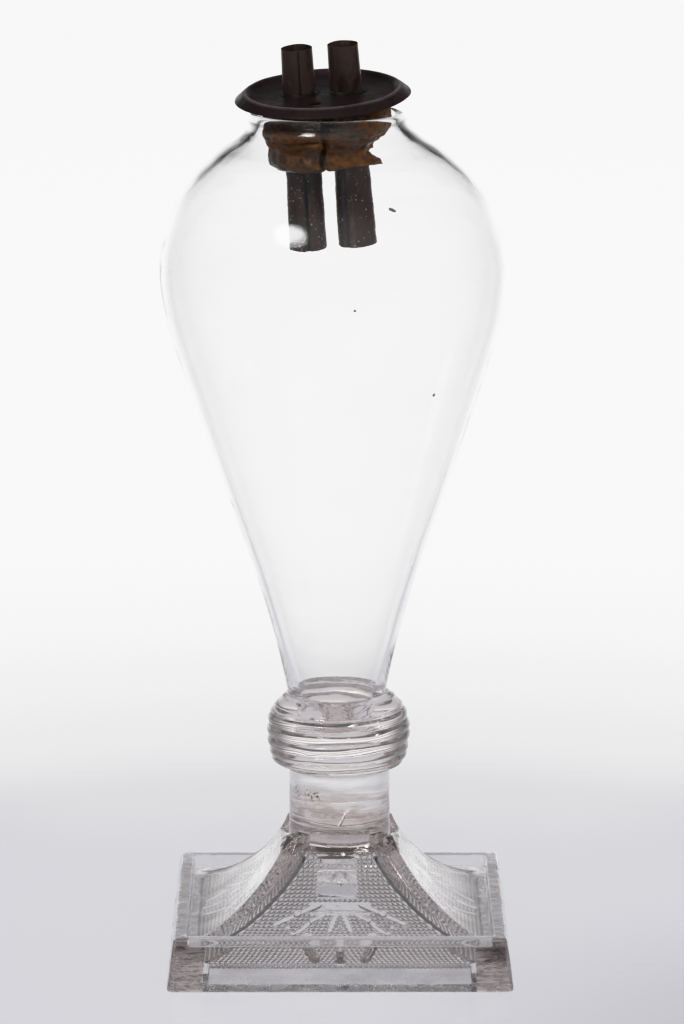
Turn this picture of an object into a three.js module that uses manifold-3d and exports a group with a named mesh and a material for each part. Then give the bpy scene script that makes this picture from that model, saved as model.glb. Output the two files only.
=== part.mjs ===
import * as THREE from "three";
import { mergeVertices } from "three/addons/utils/BufferGeometryUtils.js";
import Module from "manifold-3d";

// A whale oil lamp: a blown glass font on a pressed glass base, with a tin drop burner in a cork.
// Millimetres, +Z up. The origin is on the table, under the middle of the square base.
// +X is to the right as the lamp faces its viewer, and +Y goes away from the viewer.

// Pressed base: plinth, rim and the groove inside the rim
const footWidth = 87;
const plinthHeight = 13.5;
const plinthTaper = 1.8;
const plinthCornerCut = 0.9;
const rimWidth = 3.5;
const rimDepth = 3;
const grooveWidth = 1.2;

// Pressed base: four hollow-curved faces that sweep up to a round collar
const baseHeight = 34;
const panelTopDrop = 6.3;
const ridgeTopDrop = 2;
const ridgeWidth = 4.2;
const ridgeProud = 0.4;
const neckStep = 0.1;
const collarStep = 0.1;
const sweepPower = 1.5;
const sweepSteps = 9;

// Pressed base: the hollow under it
const skirtWall = 9.1;
const skirtHeight = 5.75;
const hollowCornerCut = 1.5;
const crownWall = 9;
const crownSide = 5;
const crownRise = 4;

// Wafer and stem
const stemRadius = 12.8;
const stemShift = 0.1;
const waferThickness = 2.5;
const waferStep = 0.2;
const stemLength = 11.5;

// Knop: a cup of glass round the tail of the font, with a thread of glass wound on it
const knopHeight = 19.3;
const knopLowerShare = 0.456;
const knopFloor = 4.5;
const knopWall = 6;
const knopLip = 0.8;
const knopUndercut = 0.5;
const knopShift = 0.35;
const knopLowerPower = 5;
const knopUpperPower = 3;
const shoulderShare = 0.62;
const threadDiameter = 2.15;
const threadTurns = 5.25;
const threadStepsPerTurn = 24;
const threadSides = 6;
const threadStartAngle = -1.9;
const meridianSteps = 60;
const knopEveryStep = 6;
const shoulderSteps = 4;

// Font: a blown pear with its narrow end down, leaning a little to the left
const fontTop = 216;
const fontRadius = 44;
const fontTailWall = 2.8;
const fontBellyWall = 1.4;
const fontTailShift = 0.7;
const fontBodyLean = 0.9;
const fontNeckLean = 1.7;
const fontNeckLeanPower = 16;
const mouthRadius = 16.75;
const lipThickness = 3;
const fontSides = 36;
const fontOutlineSteps = 30;

// Outline of the font from tail to shoulder: share of its height, share of its radius
const fontBodyShares = [
  [0.004, 0.115],
  [0.0165, 0.2],
  [0.035, 0.236],
  [0.0888, 0.282],
  [0.169, 0.348],
  [0.265, 0.448],
  [0.3607, 0.566],
  [0.4556, 0.689],
  [0.55, 0.809],
  [0.6442, 0.927],
  [0.7067, 0.983],
  [0.763, 1],
  [0.8132, 0.971],
  [0.8628, 0.898],
  [0.8996, 0.805],
  [0.9247, 0.711],
];
// From shoulder to lip: share of the rise left, share of the narrowing left
const fontNeckShares = [
  [0.291, 0.68],
  [0.5825, 0.273],
  [0.777, 0.0866],
  [1, 0],
];

// Burner: how it sits in the mouth
const burnerTiltForward = 6.85;
const burnerTiltLeft = 3.2;
const burnerShift = 0.85;
const burnerRise = 5.6;

// Burner disc: sheet tin with a turned-down edge, a round ridge and a sunk middle
const discRadius = 22.1;
const discSheet = 0.5;
const flangeWidth = 2.5;
const flangeDrop = 2.1;
const ridgeFlat = 0.5;
const recessWall = 1.1;
const recessDepth = 1.5;
const ventRadius = 1.6;
const ventForward = 9.3;
const ventShift = 2;
const discSides = 48;

// Cork: its outline down from the disc as shares of its length and radius
const corkLength = 16;
const corkShares = [
  [0, 1],
  [0.4, 1],
  [0.58, 0.89],
  [0.66, 0.835],
  [0.82, 0.855],
  [0.95, 0.82],
  [1, 0.76],
];
const corkSides = 32;

// Wick tubes: rolled tin, a little wider at the foot, with an open seam to the front
const tubeAboveDisc = 12.6;
const tubeLength = 51.4;
const tubeTopDiameter = 7.75;
const tubeFootDiameter = 9.6;
const tubeWall = 0.45;
const tubeSeam = 0.5;
const tubeFootGap = 2.15;
const tubeSetBack = 2.2;
const leftTubeDrop = 0.35;
const tubeArcSteps = 20;
const tubeRings = 4;
const leftTubeSplay = 0;
const rightTubeSplay = 1.1;
const leftSeamTurn = 8;
const rightSeamTurn = -25;

// Solder round each tube, and the wicks
const solderWidth = 1.1;
const solderHeight = 0.9;
const wickBelowTop = 2.5;
const wickLength = 40;
const wickSides = 16;

// Clearances between pieces, and how far a cut runs past what it cuts
const clearance = 0.3;
const mouthClearance = 0.4;
const overrun = 1;

// Places that follow from the sizes above
const footHalf = footWidth / 2;
const rimHalf = footHalf - plinthTaper;
const grooveHalf = rimHalf - rimWidth;
const grooveFloor = plinthHeight - rimDepth;
const collarRadius = stemRadius + collarStep;
const sweepFootHalf = grooveHalf - grooveWidth;
const sweepNeckHalf = collarRadius + neckStep;
const panelTop = baseHeight - panelTopDrop;
const ridgeTop = baseHeight - ridgeTopDrop;
const stemTop = baseHeight + waferThickness + stemLength;
const knopTop = stemTop + knopHeight;
const knopMiddle = stemTop + knopHeight * knopLowerShare;
const shoulderHeight = THREE.MathUtils.lerp(knopMiddle, knopTop, shoulderShare);
const threadRadius = threadDiameter / 2;
const socketFloor = stemTop + knopFloor;
const fontTail = socketFloor + clearance;
const lipRadius = lipThickness / 2;
const lipHeight = fontTop - lipRadius;
const fontRise = fontTop - fontTail;

const degrees = Math.PI / 180;
const wasm = await Module();
wasm.setup();

// Keeps only the positions, joins shared corners, drops empty faces and turns the faces outwards.
function closed(geometry) {
  const bare = geometry.clone();
  for (const name of Object.keys(bare.attributes)) if (name !== "position") bare.deleteAttribute(name);
  const merged = mergeVertices(bare);
  const position = merged.attributes.position;
  const index = merged.index.array;
  const faces = [];
  const a = new THREE.Vector3();
  const b = new THREE.Vector3();
  const c = new THREE.Vector3();
  let volume = 0;
  for (let i = 0; i < index.length; i += 3) {
    const [p, q, r] = [index[i], index[i + 1], index[i + 2]];
    if (p === q || q === r || r === p) continue;
    a.fromBufferAttribute(position, p);
    b.fromBufferAttribute(position, q);
    c.fromBufferAttribute(position, r);
    volume += a.dot(b.cross(c)) / 6;
    faces.push([p, q, r]);
  }
  const outward = faces.map(([p, q, r]) => (volume < 0 ? [p, r, q] : [p, q, r]));
  merged.setIndex(outward.flat());
  merged.computeVertexNormals();
  return merged;
}

function solid(geometry) {
  const shape = closed(geometry);
  return new wasm.Manifold(
    new wasm.Mesh({
      numProp: 3,
      vertProperties: new Float32Array(shape.attributes.position.array),
      triVerts: new Uint32Array(shape.index.array),
    }),
  );
}

function geometryOf(manifold) {
  const mesh = manifold.getMesh();
  const geometry = new THREE.BufferGeometry();
  geometry.setAttribute("position", new THREE.BufferAttribute(new Float32Array(mesh.vertProperties), 3));
  geometry.setIndex(new THREE.BufferAttribute(new Uint32Array(mesh.triVerts), 1));
  geometry.computeVertexNormals();
  return geometry;
}

// Turns a profile of [radius, height] points about the Z axis.
function turned(profile, sides) {
  const points = profile.map(([radius, height]) => new THREE.Vector2(radius, height));
  return new THREE.LatheGeometry(points, sides).rotateX(Math.PI / 2);
}

// Moves every corner of a shape by a rule.
function reshaped(geometry, rule) {
  const position = geometry.attributes.position;
  const point = new THREE.Vector3();
  for (let i = 0; i < position.count; i++) {
    point.fromBufferAttribute(position, i);
    rule(point);
    position.setXYZ(i, point.x, point.y, point.z);
  }
  return geometry;
}

function material(color, roughness, metalness, opacity = 1) {
  return new THREE.MeshStandardMaterial({ color, roughness, metalness, opacity, transparent: opacity < 1 });
}

const pressedGlass = material("#b9b2b4", 0.12, 0, 0.5);
const blownGlass = material("#dfe3e6", 0.05, 0, 0.3);
const corkBark = material("#6b4a2c", 0.85, 0);
const japannedTin = material("#2f2827", 0.5, 0.6);
const greySolder = material("#4a4541", 0.5, 0.8);
const charredCotton = material("#3a342e", 0.95, 0);

function piece(name, geometry, finish) {
  const mesh = new THREE.Mesh(closed(geometry), finish);
  mesh.name = name;
  return mesh;
}

// Pressed base

// Square with cut corners, as the ring of a loft.
function squareRing(half, cornerCut, height) {
  const near = half - cornerCut;
  const corners = [
    [half, -near],
    [half, near],
    [near, half],
    [-near, half],
    [-half, near],
    [-half, -near],
    [-near, -half],
    [near, -half],
  ];
  return corners.map(([x, y]) => new THREE.Vector3(x, y, height));
}

function loft(rings) {
  const count = rings[0].length;
  const last = rings.length - 1;
  const faces = [];
  for (let ring = 0; ring < last; ring++)
    for (let i = 0; i < count; i++) {
      const here = ring * count + i;
      const beside = ring * count + ((i + 1) % count);
      faces.push(here, beside, beside + count, here, beside + count, here + count);
    }
  for (let i = 1; i < count - 1; i++) {
    faces.push(0, i + 1, i);
    faces.push(last * count, last * count + i, last * count + i + 1);
  }
  return new THREE.BufferGeometry().setFromPoints(rings.flat()).setIndex(faces);
}

// The hollow curve of a face: half-widths and heights from its foot up to where it is cut off.
function sweepCurve(footHalfWidth, neckHalfWidth, footHeight, crestHeight, cutHeight) {
  const spread = footHalfWidth - neckHalfWidth;
  const rise = crestHeight - footHeight;
  const cutShare = (crestHeight - cutHeight) / rise;
  const cutTurn = Math.asin(Math.pow(cutShare, sweepPower / 2));
  const points = [];
  for (let step = 0; step <= sweepSteps; step++) {
    const turn = THREE.MathUtils.lerp(Math.PI / 2, cutTurn, step / sweepSteps);
    const inward = Math.pow(Math.max(Math.cos(turn), 0), 2 / sweepPower);
    const downward = Math.pow(Math.sin(turn), 2 / sweepPower);
    points.push([footHalfWidth - spread * inward, crestHeight - rise * downward]);
  }
  return points;
}

function pressedBase() {
  const plinth = loft([
    squareRing(footHalf, plinthCornerCut, 0),
    squareRing(rimHalf, plinthCornerCut, plinthHeight),
  ]);
  const groove = loft([
    squareRing(grooveHalf, plinthCornerCut, grooveFloor),
    squareRing(grooveHalf, plinthCornerCut, plinthHeight + overrun),
  ]);
  const cornerCut = ridgeWidth / Math.SQRT2;
  const outer = sweepCurve(sweepFootHalf, sweepNeckHalf, grooveFloor, baseHeight, panelTop);
  const sweep = loft([
    squareRing(sweepFootHalf, cornerCut, grooveFloor - overrun),
    ...outer.map(([half, height]) => squareRing(half, cornerCut, height)),
  ]);
  const collar = turned(
    [
      [0, panelTop - overrun],
      [collarRadius, panelTop - overrun],
      [collarRadius, baseHeight],
      [0, baseHeight],
    ],
    discSides,
  );
  collar.translate(-stemShift, 0, 0);
  let base = solid(plinth).subtract(solid(groove)).add(solid(sweep)).add(solid(collar));

  const crest = sweepCurve(sweepFootHalf, sweepNeckHalf, grooveFloor, baseHeight, ridgeTop);
  const outline = crest.map(([half, height]) => {
    const diagonal = (half - cornerCut / 2) * Math.SQRT2 + ridgeProud;
    return new THREE.Vector2(diagonal, height);
  });
  outline.push(new THREE.Vector2(collarRadius - overrun, ridgeTop));
  outline.push(new THREE.Vector2(collarRadius - overrun, grooveFloor - overrun));
  outline.push(new THREE.Vector2(outline[0].x, grooveFloor - overrun));
  const flatRidge = new THREE.ExtrudeGeometry(new THREE.Shape(outline), {
    depth: ridgeWidth,
    bevelEnabled: false,
  });
  flatRidge.translate(0, 0, -ridgeWidth / 2).rotateX(Math.PI / 2);
  for (let corner = 0; corner < 4; corner++) {
    const ridge = flatRidge.clone().rotateZ(Math.PI / 4 + (corner * Math.PI) / 2);
    base = base.add(solid(ridge));
  }

  const hollowHalf = footHalf - skirtWall;
  const inner = sweepCurve(
    hollowHalf,
    sweepNeckHalf - crownSide,
    skirtHeight,
    baseHeight - crownRise,
    baseHeight - crownWall,
  );
  const hollow = loft([
    squareRing(hollowHalf, hollowCornerCut, -overrun),
    ...inner.map(([half, height]) => squareRing(half, hollowCornerCut, height)),
  ]);
  return geometryOf(base.subtract(solid(hollow)));
}

// Wafer and stem

function glassRod(radius, bottom, top) {
  const profile = [
    [0, bottom],
    [radius, bottom],
    [radius, top],
    [0, top],
  ];
  return turned(profile, discSides).translate(-stemShift, 0, 0);
}

// Font

// How far the middle of the font lies to the left at a height.
function fontShiftAt(height) {
  const share = THREE.MathUtils.clamp((height - fontTail) / fontRise, 0, 1);
  return -fontTailShift - fontBodyLean * share - fontNeckLean * Math.pow(share, fontNeckLeanPower);
}

function fontOutline() {
  const lipOuter = mouthRadius + lipThickness;
  const body = fontBodyShares.map(([rise, width]) => [width * fontRadius, fontTail + rise * fontRise]);
  const [shoulderRadius, shoulderHeight] = body[body.length - 1];
  const neck = fontNeckShares.map(([rise, narrowing]) => [
    THREE.MathUtils.lerp(lipOuter, shoulderRadius, narrowing),
    THREE.MathUtils.lerp(shoulderHeight, lipHeight, rise),
  ]);
  const corners = [[0, fontTail], ...body, ...neck];
  const curve = new THREE.SplineCurve(corners.map(([radius, height]) => new THREE.Vector2(radius, height)));
  return Array.from({ length: fontOutlineSteps + 1 }, (_, i) => {
    const share = i / fontOutlineSteps;
    return { point: curve.getPoint(share), along: curve.getTangent(share), share };
  });
}

const fontCurve = fontOutline();

function fontRadiusAt(height) {
  const next = fontCurve.findIndex(({ point }) => point.y >= height);
  const low = fontCurve[next - 1].point;
  const high = fontCurve[next].point;
  return THREE.MathUtils.mapLinear(height, low.y, high.y, low.x, high.x);
}

// The wall is thin at the belly and thick at the tail and the neck.
function font() {
  const outside = fontCurve.map(({ point }) => [point.x, point.y]);
  const inside = fontCurve.map(({ point, along, share }) => {
    const thick = Math.pow(Math.abs(2 * share - 1), 2);
    const wall = THREE.MathUtils.lerp(fontBellyWall, fontTailWall, thick);
    return [Math.max(point.x - along.y * wall, 0), point.y + along.x * wall];
  });
  inside[0] = [0, fontTail + fontTailWall];
  inside[inside.length - 1] = [mouthRadius, lipHeight];
  const lipMiddle = mouthRadius + lipRadius;
  const lip = [1, 2, 3].map((step) => {
    const turn = (step * Math.PI) / 4;
    return [lipMiddle + lipRadius * Math.cos(turn), lipHeight + lipRadius * Math.sin(turn)];
  });
  const shell = turned([...outside, ...lip, ...inside.reverse()], fontSides);
  return reshaped(shell, (point) => {
    point.x += fontShiftAt(point.z);
  });
}

// Knop

const tailRadius = fontRadiusAt(knopMiddle);
const knopRadius = tailRadius + knopWall + threadDiameter + 2 * clearance;
const knopTopRadius = fontRadiusAt(knopTop) + clearance + knopLip;
const knopFootRadius = stemRadius - knopUndercut;

// Outside radius of the knop, thread and all.
function knopRadiusAt(height) {
  const above = height > knopMiddle;
  const endRadius = above ? knopTopRadius : knopFootRadius;
  const span = above ? knopTop - knopMiddle : knopMiddle - stemTop;
  const share = Math.abs(height - knopMiddle) / span;
  const power = above ? knopUpperPower : knopLowerPower;
  return knopRadius - (knopRadius - endRadius) * Math.pow(share, power);
}

// The knop's section below its shoulder, drawn in square to its surface by a depth.
function knopInset(depth) {
  const step = (shoulderHeight - stemTop) / meridianSteps;
  return Array.from({ length: meridianSteps + 1 }, (_, i) => {
    const height = stemTop + i * step;
    const widening = knopRadiusAt(height + step / 2) - knopRadiusAt(height - step / 2);
    const outward = new THREE.Vector2(step, -widening).normalize();
    return new THREE.Vector2(knopRadiusAt(height), height).addScaledVector(outward, -depth);
  });
}

// The middle line of the wound thread, seen in section, with the length along it.
function threadMeridian() {
  const low = stemTop + clearance + threadRadius;
  const high = shoulderHeight - clearance - threadRadius;
  const places = knopInset(threadRadius).filter(({ y }) => y >= low && y <= high);
  const lengths = [0];
  for (let i = 1; i < places.length; i++)
    lengths.push(lengths[i - 1] + places[i].distanceTo(places[i - 1]));
  return { places, lengths, total: lengths[places.length - 1] };
}

const meridian = threadMeridian();

function meridianAt(share) {
  const target = THREE.MathUtils.clamp(share, 0, 1) * meridian.total;
  const next = Math.max(
    meridian.lengths.findIndex((length) => length >= target),
    1,
  );
  const part = THREE.MathUtils.inverseLerp(meridian.lengths[next - 1], meridian.lengths[next], target);
  return meridian.places[next - 1].clone().lerp(meridian.places[next], part);
}

// One unbroken winding up the knop, with a straight end a thread's width long at each end.
class ThreadPath extends THREE.Curve {
  getPoint(t, target = new THREE.Vector3()) {
    const endShare = threadDiameter / (threadTurns * 2 * Math.PI * knopRadius);
    const share = THREE.MathUtils.mapLinear(t, endShare, 1 - endShare, 0, 1);
    const held = THREE.MathUtils.clamp(share, 0, 1);
    const { x: radius, y: height } = meridianAt(held);
    const angle = threadStartAngle + held * threadTurns * 2 * Math.PI;
    target.set(radius * Math.cos(angle), radius * Math.sin(angle), height);
    const past = (share - held) * threadTurns * 2 * Math.PI * radius;
    target.x -= past * Math.sin(angle);
    target.y += past * Math.cos(angle);
    return target;
  }
}

function knopThread() {
  const section = new THREE.Shape();
  for (let side = 0; side < threadSides; side++) {
    const angle = (side * 2 * Math.PI) / threadSides;
    const place = [threadRadius * Math.cos(angle), threadRadius * Math.sin(angle)];
    if (side === 0) section.moveTo(...place);
    else section.lineTo(...place);
  }
  section.closePath();
  const path = new ThreadPath();
  path.arcLengthDivisions = threadTurns * threadStepsPerTurn * 4;
  return new THREE.ExtrudeGeometry(section, {
    steps: threadTurns * threadStepsPerTurn,
    bevelEnabled: false,
    extrudePath: path,
  });
}

// Least distance between neighbouring turns, measured from point to point on the middle line.
function leastThreadGap() {
  const path = new ThreadPath();
  const perTurn = threadStepsPerTurn * 4;
  const count = threadTurns * perTurn;
  const points = Array.from({ length: count + 1 }, (_, i) => path.getPoint(i / count));
  let least = Infinity;
  for (let i = 0; i < points.length; i++)
    for (let j = i + perTurn / 2; j < points.length; j++)
      least = Math.min(least, points[i].distanceTo(points[j]));
  return least - threadDiameter;
}

console.log("least gap between turns of the knop's thread, mm:", leastThreadGap().toFixed(2));

// The cup inside the winding, with a smooth shoulder over it and a socket for the font's tail.
function knopCore() {
  const inset = knopInset(threadDiameter + clearance);
  const under = inset.filter(({ y }, i) => y < shoulderHeight && i % knopEveryStep === 0);
  const profile = [[0, stemTop], [under[0].x, stemTop], ...under.map(({ x, y }) => [x, y])];
  profile.push([under[under.length - 1].x, shoulderHeight]);
  for (let step = 0; step <= shoulderSteps; step++) {
    const height = THREE.MathUtils.lerp(shoulderHeight, knopTop, step / shoulderSteps);
    profile.push([knopRadiusAt(height), height]);
  }
  profile.push([0, knopTop]);
  const cup = solid(turned(profile, discSides));
  const socket = fontCurve
    .filter(({ point }) => point.y < knopTop)
    .map(({ point, along }) => [point.x + along.y * clearance, point.y - along.x * clearance]);
  socket[0] = [0, socketFloor];
  socket.push([fontRadiusAt(knopTop + overrun) + clearance, knopTop + overrun], [0, knopTop + overrun]);
  const hole = reshaped(turned(socket, fontSides), (point) => {
    point.x += fontShiftAt(point.z) + knopShift;
  });
  return geometryOf(cup.subtract(solid(hole)));
}

// Burner

const burnerTurn = new THREE.Euler(burnerTiltForward * degrees, -burnerTiltLeft * degrees, 0);
const burnerAxis = new THREE.Vector3(0, 0, 1).applyEuler(burnerTurn);
const burner = new THREE.Group();
burner.rotation.copy(burnerTurn);
burner.position.set(fontShiftAt(lipHeight) - burnerShift, 0, lipHeight);
burner.position.addScaledVector(burnerAxis, burnerRise);

const tubeTop = tubeAboveDisc;
const tubeFoot = tubeTop - tubeLength;
const tubeSpacing = tubeFootDiameter + tubeFootGap;
const ridgeHeight = flangeDrop;
const recessFloor = ridgeHeight - recessDepth;

// Outside radius of a wick tube at a height in the burner.
function tubeRadiusAt(height) {
  const share = (tubeTop - height) / tubeLength;
  return THREE.MathUtils.lerp(tubeTopDiameter, tubeFootDiameter, share) / 2;
}

// One frame for each tube: its place, its splay, how much lower it sits and the turn of its seam.
const tubeFrames = [
  { side: "left", place: -tubeSpacing / 2, splay: leftTubeSplay, drop: leftTubeDrop, seam: leftSeamTurn },
  { side: "right", place: tubeSpacing / 2, splay: rightTubeSplay, drop: 0, seam: rightSeamTurn },
];

function inTubeFrame(geometry, frame) {
  return geometry.rotateY(-frame.splay * degrees).translate(frame.place, tubeSetBack, 0);
}

// The space a tube takes up where it passes through the disc and the cork.
function tubePassage(frame, low, high) {
  const profile = [
    [0, low],
    [tubeRadiusAt(low) + clearance, low],
    [tubeRadiusAt(high) + clearance, high],
    [0, high],
  ];
  return solid(inTubeFrame(turned(profile, corkSides), frame));
}

function wickTube(frame) {
  const outside = tubeTopDiameter / 2;
  const inside = outside - tubeWall;
  const halfSeam = Math.asin(tubeSeam / tubeTopDiameter);
  const seamAt = -Math.PI / 2 + frame.seam * degrees;
  const section = new THREE.Shape();
  for (const [radius, from, to] of [
    [outside, halfSeam, 2 * Math.PI - halfSeam],
    [inside, 2 * Math.PI - halfSeam, halfSeam],
  ])
    for (let step = 0; step <= tubeArcSteps; step++) {
      const angle = seamAt + THREE.MathUtils.lerp(from, to, step / tubeArcSteps);
      const place = [radius * Math.cos(angle), radius * Math.sin(angle)];
      if (section.curves.length === 0 && step === 0 && radius === outside) section.moveTo(...place);
      else section.lineTo(...place);
    }
  section.closePath();
  const rolled = new THREE.ExtrudeGeometry(section, {
    depth: tubeLength,
    steps: tubeRings,
    bevelEnabled: false,
  });
  rolled.translate(0, 0, tubeFoot);
  const flared = reshaped(rolled, (point) => {
    const grow = tubeRadiusAt(point.z) / outside;
    point.x *= grow;
    point.y *= grow;
  });
  return inTubeFrame(flared.translate(0, 0, -frame.drop), frame);
}

function burnerDisc() {
  const crestOuter = discRadius - flangeWidth;
  const crestInner = crestOuter - ridgeFlat;
  const recessRadius = crestInner - recessWall;
  const top = [
    [0, recessFloor],
    [recessRadius, recessFloor],
    [crestInner, ridgeHeight],
    [crestOuter, ridgeHeight],
    [discRadius, 0],
  ];
  const under = [
    [discRadius - discSheet, 0],
    [crestOuter - discSheet / 2, ridgeHeight - discSheet],
    [crestInner + discSheet / 2, ridgeHeight - discSheet],
    [recessRadius + discSheet / 2, recessFloor - discSheet],
    [0, recessFloor - discSheet],
  ];
  let disc = solid(turned([...top, ...under], discSides));
  for (const frame of tubeFrames)
    disc = disc.subtract(tubePassage(frame, recessFloor - discSheet - overrun, ridgeHeight + overrun));
  const vent = new THREE.CylinderGeometry(ventRadius, ventRadius, discSheet + 2 * overrun, wickSides);
  vent.rotateX(Math.PI / 2).translate(-ventShift, -ventForward, recessFloor - discSheet / 2);
  return geometryOf(disc.subtract(solid(vent)));
}

function cork() {
  const top = recessFloor - discSheet - clearance;
  const radius = (mouthRadius - mouthClearance) * burnerAxis.z;
  const side = corkShares.map(([down, width]) => [radius * width, top - corkLength * down]);
  const outside = turned([[0, top], ...side, [0, top - corkLength]], corkSides);
  let plug = solid(outside.translate(burnerShift, 0, 0));
  for (const frame of tubeFrames)
    plug = plug.subtract(tubePassage(frame, top - corkLength - overrun, top + overrun));
  return geometryOf(plug);
}

function solder(frame) {
  const low = recessFloor + clearance;
  const bore = tubeRadiusAt(low) + clearance;
  const fillet = [
    [bore, low],
    [bore + solderWidth, low],
    [bore, low + solderHeight],
    [bore, low],
  ];
  return inTubeFrame(turned(fillet, wickSides * 2), frame);
}

function wick(frame) {
  const top = tubeTop - wickBelowTop;
  const radius = tubeRadiusAt(tubeTop) - tubeWall - clearance;
  const profile = [
    [0, top - wickLength],
    [radius, top - wickLength],
    [radius, top],
    [0, top],
  ];
  return inTubeFrame(turned(profile, wickSides).translate(0, 0, -frame.drop), frame);
}

// The lamp

const lamp = new THREE.Group();
lamp.add(piece("pressed_base", pressedBase(), pressedGlass));
const waferTop = baseHeight + waferThickness;
lamp.add(piece("joining_wafer", glassRod(stemRadius + waferStep, baseHeight, waferTop), pressedGlass));
lamp.add(piece("stem", glassRod(stemRadius, waferTop, stemTop), blownGlass));

const knop = new THREE.Group();
knop.position.x = -knopShift;
knop.add(piece("knop_core", knopCore(), blownGlass));
knop.add(piece("knop_thread", knopThread(), blownGlass));
lamp.add(knop);
lamp.add(piece("font", font(), blownGlass));

burner.add(piece("cork", cork(), corkBark));
burner.add(piece("burner_disc", burnerDisc(), japannedTin));
for (const frame of tubeFrames) {
  burner.add(piece("wick_tube_" + frame.side, wickTube(frame), japannedTin));
  burner.add(piece("tube_solder_" + frame.side, solder(frame), greySolder));
  burner.add(piece("wick_" + frame.side, wick(frame), charredCotton));
}
lamp.add(burner);

export default lamp;
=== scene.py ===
import math

import bmesh
import bpy
import numpy as np
from mathutils import Matrix, Vector


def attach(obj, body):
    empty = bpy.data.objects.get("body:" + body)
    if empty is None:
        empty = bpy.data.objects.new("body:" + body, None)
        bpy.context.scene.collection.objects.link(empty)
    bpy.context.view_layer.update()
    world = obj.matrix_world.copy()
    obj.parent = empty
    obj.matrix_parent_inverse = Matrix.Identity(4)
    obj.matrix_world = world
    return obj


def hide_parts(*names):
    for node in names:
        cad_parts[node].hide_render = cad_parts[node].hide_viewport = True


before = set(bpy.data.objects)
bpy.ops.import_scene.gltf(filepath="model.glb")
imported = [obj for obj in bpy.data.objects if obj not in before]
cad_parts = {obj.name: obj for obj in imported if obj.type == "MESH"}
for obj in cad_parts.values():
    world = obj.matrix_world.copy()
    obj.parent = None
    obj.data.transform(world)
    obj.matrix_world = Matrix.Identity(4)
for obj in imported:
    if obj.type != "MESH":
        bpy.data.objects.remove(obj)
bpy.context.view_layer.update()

# Camera
# A long lens 1.4 m in front of the lamp, a little above its middle and tipped down towards it, at the
# photograph's angle.

camera_tip, camera_turn = 11.83, -0.12

camera = bpy.data.objects.new("camera", bpy.data.cameras.new("camera"))
bpy.context.scene.collection.objects.link(camera)
camera.data.lens = 200
camera.data.sensor_width = 36
camera.data.clip_start = 0.05
camera.data.clip_end = 30
camera.location = (-0.0024, -1.412, 0.40962)
camera.rotation_euler = (math.radians(90 - camera_tip), 0, math.radians(camera_turn))
bpy.context.scene.camera = camera

# Floor and light
# A wide sheet of white laminate with a painted glow that falls off to grey round the lamp, a pale
# room, a window-like lamp high on the left in front, and a large weak one on the right.


def plug(value, socket):
    """Links a node's output to a socket, or sets the socket to a constant."""
    if isinstance(value, bpy.types.NodeSocket):
        socket.id_data.links.new(value, socket)
    elif socket.type == "RGBA":
        socket.default_value = (*value, 1)
    else:
        socket.default_value = value


def fill(node, **values):
    """Plugs a node's inputs by name, with _ for each space."""
    for name, value in values.items():
        plug(value, node.inputs[name.replace("_", " ")])


def new_node(kind, *values, tree=None, **settings):
    """A node with its settings made and its first inputs plugged, in the tree of what it takes."""
    for value in values:
        if isinstance(value, bpy.types.NodeSocket):
            tree = value.id_data
    node = tree.nodes.new("ShaderNode" + kind)
    for name, value in settings.items():
        setattr(node, name, value)
    for socket, value in zip(node.inputs, values):
        plug(value, socket)
    return node


def math_node(operation, *values):
    return new_node("Math", *values, operation=operation).outputs[0]


def times(value, *others):
    for other in others:
        value = math_node("MULTIPLY", value, other)
    return value


def spread(value, low, high, to_low=0.0, to_high=1.0, smooth=True):
    """Carries low..high to to_low..to_high, and holds the ends beyond."""
    bend = "SMOOTHSTEP" if smooth else "LINEAR"
    ends = (low, high, to_low, to_high)
    return new_node("MapRange", value, *ends, interpolation_type=bend).outputs["Result"]


def blend_colours(share, low, high):
    node = new_node("Mix", share, data_type="RGBA")
    fill(node, A=low, B=high)
    return node.outputs["Result"]


def ramp(value, stops):
    node = new_node("ValToRGB", value)
    node.color_ramp.interpolation = "EASE"
    while len(node.color_ramp.elements) < len(stops):
        node.color_ramp.elements.new(0.5)
    for element, (place, colour) in zip(node.color_ramp.elements, stops):
        element.position = place
        element.color = (*colour, 1)
    return node.outputs["Color"]


def noise(where, scale, detail=3.0, rough=0.55, stretch=None):
    if stretch is not None:
        mapping = new_node("Mapping", where)
        fill(mapping, Scale=stretch)
        where = mapping.outputs["Vector"]
    node = new_node("TexNoise", where)
    fill(node, Scale=scale, Detail=detail, Roughness=rough)
    return node.outputs["Fac"]


def place_in_object(tree):
    return new_node("TexCoord", tree=tree).outputs["Object"]


def axes(where):
    return new_node("SeparateXYZ", where).outputs


def distance(where, spot):
    return new_node("VectorMath", where, spot, operation="DISTANCE").outputs["Value"]


def new_material(name):
    made = bpy.data.materials.new(name)
    made.use_nodes = True
    return made, made.node_tree, made.node_tree.nodes["Principled BSDF"]


def bump(shader, height, depth, strength=1.0):
    node = new_node("Bump", tree=shader.id_data)
    fill(node, Strength=strength, Distance=depth, Height=height)
    fill(shader, Normal=node.outputs["Normal"])


def around(count):
    return np.arange(count) * math.tau / count


def ring(radius, turn, height, middle=0.0):
    """Points at the bearings turn round an upright axis at x = middle."""
    x, y = middle + radius * np.cos(turn), radius * np.sin(turn)
    return np.stack(np.broadcast_arrays(x, y, height), 1)


def skin(rings, first=0):
    """Quads between neighbouring closed rings of the same count."""
    count = len(rings[0])
    faces = []
    for a in range(first, first + (len(rings) - 1) * count, count):
        for i in range(count):
            j = (i + 1) % count
            faces.append((a + i, a + j, a + count + j, a + count + i))
    return faces


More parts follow.
